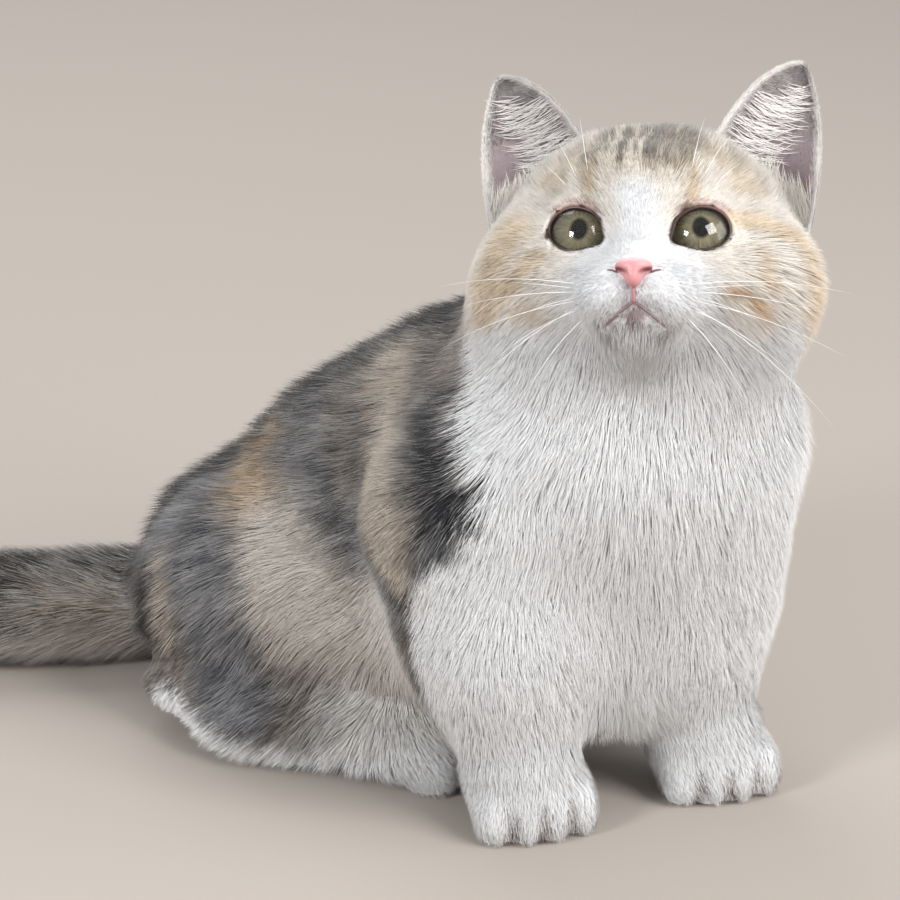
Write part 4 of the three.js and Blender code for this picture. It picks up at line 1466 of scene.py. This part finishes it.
for side in (-1, 1):
    lid_rim(side)


# Nose: a broad pebbled pad over a narrow foot, with a comma of a nostril on each side
PIT = np.array([(46.6, 2.3, -11.7), (45.8, 3.1, -11.4), (44.6, 4.4, -10.9), (43, 5.6, -10.7)])
PITS = {s: smooth_line(PIT * (1, s, 1), 10) for s in (-1, 1)}


def nose_form(p):
    d = nose_solid(p)
    for line in PITS.values():
        for i in range(len(line) - 1):
            size = 1.08 - 0.06 * i
            d = np.maximum(d, -rod(line[i], line[i + 1], size, size - 0.05)(p))
    return d


verts, faces = net(nose_form, (37, -7.5, -17.5), (48.5, 7.5, -5), 0.3, margin=3)
verts = settle(nose_form, verts, faces, 2, 0.3)
nose = mesh_of("nose_pad", head_out(verts), faces)
pit_gap = np.min([gap_to_line(verts, line) for line in PITS.values()], axis=0)
pink = rgb("#cc8f91") + ramp(verts[:, 2], -9.8, -7.5)[:, None] * (rgb("#dcbcc0") - rgb("#cc8f91"))
pink = pink + ramp(verts[:, 2], -12.5, -15.5)[:, None] * (rgb("#b9777a") - pink)
# The nostril pits are dark red, partly the nostrils' own deeper colour and partly painted shade within them
pink = pink + ramp(pit_gap, 1.5, 0.9)[:, None] * (rgb("#5e1c22") - pink)
paint(nose.data, pink)
finished(nose, nose_leather, ["nose"])


# Lips: the parting under the nose, the two lips and the edges of the nose's wings, each a line's places,
# its thickness at the start and the end, and its colour
def lips():
    parts, colours, quads = [], [], []
    rows, sides = 19, 10
    runs = [(PARTING, 0.4, 0.5, "#a86d74")]
    runs += [(LIPS[s], 0.5, 0.22, "#77605f") for s in (-1, 1)]
    runs += [(WINGS[s], 0.3, 0.15, "#6b4b4c") for s in (-1, 1)]
    for n, (line, start, end, code) in enumerate(runs):
        t = np.linspace(0, 1, rows)
        swell = np.sqrt(np.clip(1 - (2 * t - 1) ** 8, 0, 1))
        swell[[0, -1]] = 0.02
        rings = tube(smooth_line(line, rows - 1), (start + (end - start) * t) * swell, sides)
        parts.append(rings.reshape(-1, 3))
        quads.append(ring_faces(rows, sides, n * rows * sides))
        colours.append(np.tile(rgb(code), (rows * sides, 1)))
    obj = mesh_of("lips", head_out(np.concatenate(parts)), np.concatenate(quads))
    paint(obj.data, np.concatenate(colours))
    return finished(obj, wet_skin)


lips()


# Whiskers: stiff pale hairs that taper to nothing, from the lips, the brows and the cheeks, each with its
# root, the way it points, its length and how it sags
def whiskers():
    plan = []
    for s in (-1, 1):
        lift = 0.0 if s < 0 else -0.05
        plan += [
            ((37.5, 12.0 * s, -12.5), (-0.1, s, 0.22 + lift), 40, -0.10),
            ((37.0, 12.5 * s, -14.0), (-0.05, s, 0.05 + lift), 33, -0.06),
            ((36.5, 12.5 * s, -15.8), (-0.15, s, -0.08 + lift), 38, -0.12),
            ((36.0, 12.0 * s, -17.5), (-0.05, s, -0.28 + lift), 26, -0.2),
            ((35.8, 13.0 * s, -17.0), (-0.15, s, -0.42 + lift), 38, -0.25),
            ((35.0, 11.5 * s, -19.0), (0.1, s, -0.8 + lift), 21, -0.35),
            ((36.8, 13.2 * s, -13.2), (0.1, s, 0.12 + lift), 18, 0.05),
            ((36.0, 13.4 * s, -15.0), (0.15, s, -0.15 + lift), 16, -0.1),
            ((33.5, 12.0 * s, 13.5), (0.2, 0.16 * s, 1), 22, -0.12),
            ((32.5, 14.5 * s, 13.8), (0.15, 0.42 * s, 1), 18, -0.15),
            ((31.0, 17.0 * s, 13.0), (0.1, 0.7 * s, 1), 12, -0.15),
            ((24.0, 31.0 * s, -9.0), (-0.3, s, -0.4), 14, -0.1),
        ]
    parts, quads = [], []
    rows, sides, rooted = 13, 5, 3
    for n, (at, way, length, sag) in enumerate(plan):
        at, way = np.array(at, float), unit(np.array(way, float))
        start = at - way * rooted
        s = np.linspace(0, 1, rows)[:, None]
        line = start + way * (length + rooted) * s + np.array([-0.35, 0, sag]) * length * s**2.2
        rings = tube(line, 0.115 * (1 - s[:, 0]) ** 0.8 + 0.012, sides)
        parts.append(rings.reshape(-1, 3))
        quads.append(ring_faces(rows, sides, n * rows * sides))
    return close(mesh_of("whiskers", head_out(np.concatenate(parts)), np.concatenate(quads)))


# Whisker keratin: smooth and slightly clear, white with a silky shine
def keratin_material():
    made, tree = material("white_whisker_keratin")
    spot = add(tree, "ShaderNodeTexCoord")
    patches = add(tree, "ShaderNodeTexNoise", {}, {"Vector": spot.outputs["Object"], "Scale": 300.0})
    shade = add(
        tree, "ShaderNodeMapRange", {}, {"Value": patches.outputs["Fac"], "To Min": 0.8, "To Max": 0.95}
    )
    surface = add(
        tree,
        "ShaderNodeBsdfPrincipled",
        {},
        {"Base Color": shade.outputs["Result"], "Roughness": 0.35, "Transmission Weight": 0.1},
    )
    output(tree, surface.outputs["BSDF"])
    return made


finished(whiskers(), keratin_material())


# Ears: a cupped sheet from its base on the head to a rounded tip, bare and mauve within
EAR_WIDTH, EAR_CUP, EAR_WALL = 33, 10, 2.2
thin_ear_skin = bare_skin_material("thin_ear_skin", 0.6, 0.8, 0.00008)


def ear_place(side, u, v, face):
    """Where on the ear: u across from the inner to the outer edge, v up, face 0 in the cup and 1 behind."""
    u, v, face = (np.asarray(a, float) for a in (u, v, face))
    base = np.array(EAR_BASE[side])
    axis = np.array(EAR_TIP[side]) - base
    to_side = ear_across(side)
    inward = unit(np.cross(to_side, axis))
    if inward[0] > 0:
        inward = -inward
    v = 1 - (1 - v) ** 1.3
    slim = (1 - (0.92 * np.clip(v, 0, 1)) ** 1.6) ** 0.7 * (1 - np.clip(v, 0, 1) ** 8) ** 0.5
    half = EAR_WIDTH / 2 * slim + 0.5
    cup = EAR_CUP * (1 - u * u) * slim * (1 - 0.3 * v)
    wall = (EAR_WALL * (1 - 0.45 * np.abs(u)) - 0.9) * face + 0.45
    return (
        base
        + axis * v[..., None]
        + to_side * (u * half)[..., None]
        + inward * (cup + wall)[..., None]
    )


def ear_skin(side):
    row, rows = 28, 30
    u, v = np.meshgrid(np.linspace(-1, 1, row), np.linspace(-0.12, 1, rows))
    sheet = row * rows
    points = np.concatenate([ear_place(side, u.ravel(), v.ravel(), np.full(u.size, f)) for f in (0, 1)])
    quads = []
    for j in range(rows - 1):
        for i in range(row - 1):
            a = j * row + i
            quads.append((a, a + 1, a + row + 1, a + row))
            quads.append((a + sheet, a + row + sheet, a + row + 1 + sheet, a + 1 + sheet))
    edge = list(range(row - 1)) + [j * row + row - 1 for j in range(rows - 1)]
    edge += [(rows - 1) * row + i for i in range(row - 1, 0, -1)]
    edge += [j * row for j in range(rows - 1, 0, -1)]
    for n, a in enumerate(edge):
        b = edge[(n + 1) % len(edge)]
        quads.append((a, b, b + sheet, a + sheet))
    obj = mesh_of("ear_skin_" + NAMES[side], head_out(points), np.array(quads))
    uu, vv = np.tile(u.ravel(), 2), np.tile(v.ravel(), 2)
    back = np.repeat([0.0, 1.0], sheet)
    # Mauve skin within, darker towards the base and the outer edge as painted shade deep in the cup
    outer = ramp(0.4 * np.abs(uu) - 0.3 * uu + 0.6 * vv, 0.25, 0.9)[:, None]
    mauve_and_shade = rgb("#86767a") + outer * (rgb("#999191") - rgb("#86767a"))
    mauve_and_shade = mauve_and_shade + ramp(vv, 0.25, -0.05)[:, None] * (rgb("#6b5057") - mauve_and_shade)
    rim = ramp(np.abs(uu), 0.86, 0.97)[:, None]
    mauve_and_shade = mauve_and_shade + rim * (rgb("#e2dad6") - mauve_and_shade)
    shade = mauve_and_shade + (back[:, None] * (1 - rim)) * (SLATE - mauve_and_shade)
    paint(obj.data, shade)
    return finished(close(obj), thin_ear_skin, ["ear_" + NAMES[side]])


# Hair of the ears: how many, from where to where across and up, in the cup (0) or behind (1), its way across,
# up and off, its length and width, its colour, then the colour of a share of it, its stand and its curl
EAR_DOWN = (
    (6500, (-0.86, 0.86), (0, 0.93), 1, (0.0, 1, 0.2), 2.4, 0.3, "#77726b", ("#383330", 0.45)),
    (4600, (-0.93, 0.93), (0.55, 0.97), 0, (0.3, 1, 0.12), 2.0, 0.15, "#8f8a88", ("#696462", 0.35)),
    (4600, (-0.97, -0.3), (-0.05, 0.8), 0, (0.7, 0.9, 0.13), 2.8, 0.15, "#b8b3b0", ("#8f8a87", 0.25)),
    (2200, (-0.3, 0.93), (0.05, 0.75), 0, (0.4, 0.8, 0.08), 2.0, 0.14, "#a39a9b", ("#8a7f82", 0.5)),
    (1300, (0.84, 0.99), (0, 0.97), 0, (0.1, 1, 0.1), 2.2, 0.18, "#dcd7d3", ("#bcb6b3", 0.3)),
    (1300, (-0.99, -0.84), (0, 0.97), 0, (-0.1, 1, 0.1), 2.2, 0.18, "#e2ddd9", ("#c3bdba", 0.3)),
)
EAR_LONG = (
    (260, (-0.95, -0.45), (0.02, 0.62), 0, (1.0, 0.25, 0.42), 10, 0.2, "#f0ebe8", None, 1.5, 0.15),
    (150, (-0.6, 0.1), (0.3, 0.8), 0, (1.0, 0.45, 0.26), 7, 0.18, "#e8e2df", None, 1.0, 0.12),
    (1200, (0.1, 0.97), (-0.1, 0.24), 0, (-0.35, 1, 0.5), 7.5, 0.24, "#efe8df", None, 1.2, 0.0),
    (500, (-0.97, 0.0), (-0.1, 0.16), 0, (0.5, 1, 0.45), 6, 0.24, "#ece4da", None, 1.2, 0.0),
)


def ear_hair(side):
    """Short dark hair behind, a pale rim, fine down within and long white hairs that sweep across the cup."""

    def grown_at(u, v, face, way_u, way_v, lift, length, width, colour, proud=0.3, curl=0.0):
        step = 0.01
        at = ear_place(side, u, v, face)
        du = unit(ear_place(side, u + step, v, face) - at)
        dv = unit(ear_place(side, u, np.minimum(v + step, 1), face) - ear_place(side, u, v - step, face))
        off = unit(np.cross(du, dv))
        facing = ear_place(side, u, v, np.zeros(len(u))) - ear_place(side, u, v, np.ones(len(u)))
        off = off * np.sign((off * facing).sum(1, keepdims=True)) * np.where(face[:, None] > 0.5, -1, 1)
        way = unit(du * way_u[:, None] + dv * way_v[:, None] + off * lift[:, None])
        bend = unit(dv * 0.8 - du * 0.2) * (curl * length)[:, None]
        tip = at + way * length[:, None] + off * (proud * length * 0.1)[:, None] + bend
        waist = at + way * (0.5 * length)[:, None] + off * (0.16 * length * np.maximum(lift, 0.15))[:, None]
        lie, out = way @ HEAD.T, off @ HEAD.T
        uv = np.stack([0.02 + 0.46 * (u + 1) / 2 + 0.5 * face, 0.02 + 0.96 * np.clip(v, 0, 1)], 1)
        return dict(
            foot=head_out(at - off * 0.3), waist=head_out(waist), tip=head_out(tip),
            out=out, lie=lie, across=unit(np.cross(out, lie)), uv=uv, width=width, **shaded(colour, at, 0.2),
        )

    def grown_in(many, u_range, v_range, face, way, length, width, code, mix=None, proud=0.3, curl=0.0):
        n = int(many * THIN)
        u = dice.uniform(*u_range, n)
        v = dice.uniform(*v_range, n)
        colour = np.tile(rgb(code), (n, 1))
        if mix:
            colour[dice.random(n) < mix[1]] = rgb(mix[0])
        return grown_at(
            u, v, np.full(n, float(face)), way[0] + dice.normal(0, 0.25, n), way[1] + dice.normal(0, 0.15, n),
            np.abs(way[2] + dice.normal(0, 0.08, n)), length * dice.uniform(0.7, 1.2, n),
            width * dice.uniform(0.8, 1.2, n), colour, proud, curl,
        )

    lots = [grown_in(*row) for row in EAR_DOWN]
    long_hair = [grown_in(*row) for row in EAR_LONG]
    for u_edge in (-1.0, 1.0):
        n = int(2200 * THIN)
        v = dice.uniform(0, 0.995, n)
        face = dice.uniform(0, 0.45, n)
        lots.append(
            grown_at(
                np.full(n, u_edge) * dice.uniform(0.95, 1, n), v, face,
                u_edge * (0.45 + dice.normal(0, 0.15, n)), 0.9 + dice.normal(0, 0.1, n), np.full(n, 0.04),
                dice.uniform(1.2, 2.2, n), dice.uniform(0.16, 0.24, n), np.tile(rgb("#eee8e2"), (n, 1)),
            )
        )
    for name, kind, waisted in (("ear_coat_", lots, False), ("ear_hair_", long_hair, True)):
        merged = {key: np.concatenate([lot[key] for lot in kind]) for key in kind[0]}
        tufts(name + NAMES[side], merged, waisted)


for side in (-1, 1):
    ear_skin(side)
    ear_hair(side)


# Camera, lamps and floor
def lamp(name, at, size, power, tint=(1, 1, 1)):
    data = bpy.data.lights.new(name, "AREA")
    data.size = size
    data.energy = power
    data.color = tint
    obj = bpy.data.objects.new(name, data)
    obj.location = at
    obj.rotation_euler = (Vector(target) - Vector(at)).to_track_quat("-Z", "Y").to_euler()
    bpy.context.scene.collection.objects.link(obj)


CAMERA_AT = metres((595.8, -742.4, 444.1))
CAMERA_TO = metres((-37.3, -14.0, 92.9))
lens = bpy.data.cameras.new("camera")
lens.lens = 160
lens.sensor_width = 36
lens.clip_start = 0.01
camera = bpy.data.objects.new("camera", lens)
camera.location = CAMERA_AT
camera.rotation_euler = Vector(CAMERA_TO - CAMERA_AT).to_track_quat("-Z", "Y").to_euler()
bpy.context.scene.collection.objects.link(camera)
bpy.context.scene.camera = camera

VIEW = unit((CAMERA_AT - CAMERA_TO) * (1, 1, 0))
SIDE = np.array([-VIEW[1], VIEW[0], 0])
target = metres((-20, 5, 70))
lamp("key", target + VIEW * 0.8 + SIDE * 0.85 + np.array([0, 0, 0.9]), 0.7, 18.5, (1, 0.995, 0.985))
lamp("fill", target + VIEW * 0.9 - SIDE * 0.9 + np.array([0, 0, 0.6]), 0.35, 11.5, (0.97, 0.99, 1))
lamp("side", target + VIEW * 0.25 + SIDE * 1.3 + np.array([0, 0, 0.5]), 0.9, 6.5)
lamp("back", target - VIEW * 0.8 - SIDE * 0.4 + np.array([0, 0, 0.9]), 0.8, 6)
world = bpy.data.worlds.new("studio")
world.use_nodes = True
world.node_tree.nodes["Background"].inputs["Color"].default_value = (0.92, 0.925, 0.935, 1)
world.node_tree.nodes["Background"].inputs["Strength"].default_value = 0.55
bpy.context.scene.world = world
bpy.context.scene.view_settings.view_transform = "Standard"

# The floor reaches four metres each way
floor_mesh = bpy.data.meshes.new("floor")
floor_mesh.from_pydata([(-4, -4, 0), (4, -4, 0), (4, 4, 0), (-4, 4, 0)], [], [(0, 1, 2, 3)])
floor = bpy.data.objects.new("floor", floor_mesh)
bpy.context.scene.collection.objects.link(floor)
# Matt paper under the kitten: pale and without a shine
backdrop, backdrop_tree = material("pale_paper_floor")
paper = add(
    backdrop_tree, "ShaderNodeBsdfPrincipled", {}, {"Base Color": colour4(rgb("#ada49c")), "Roughness": 0.8}
)
output(backdrop_tree, paper.outputs["BSDF"])
floor_mesh.materials.append(backdrop)
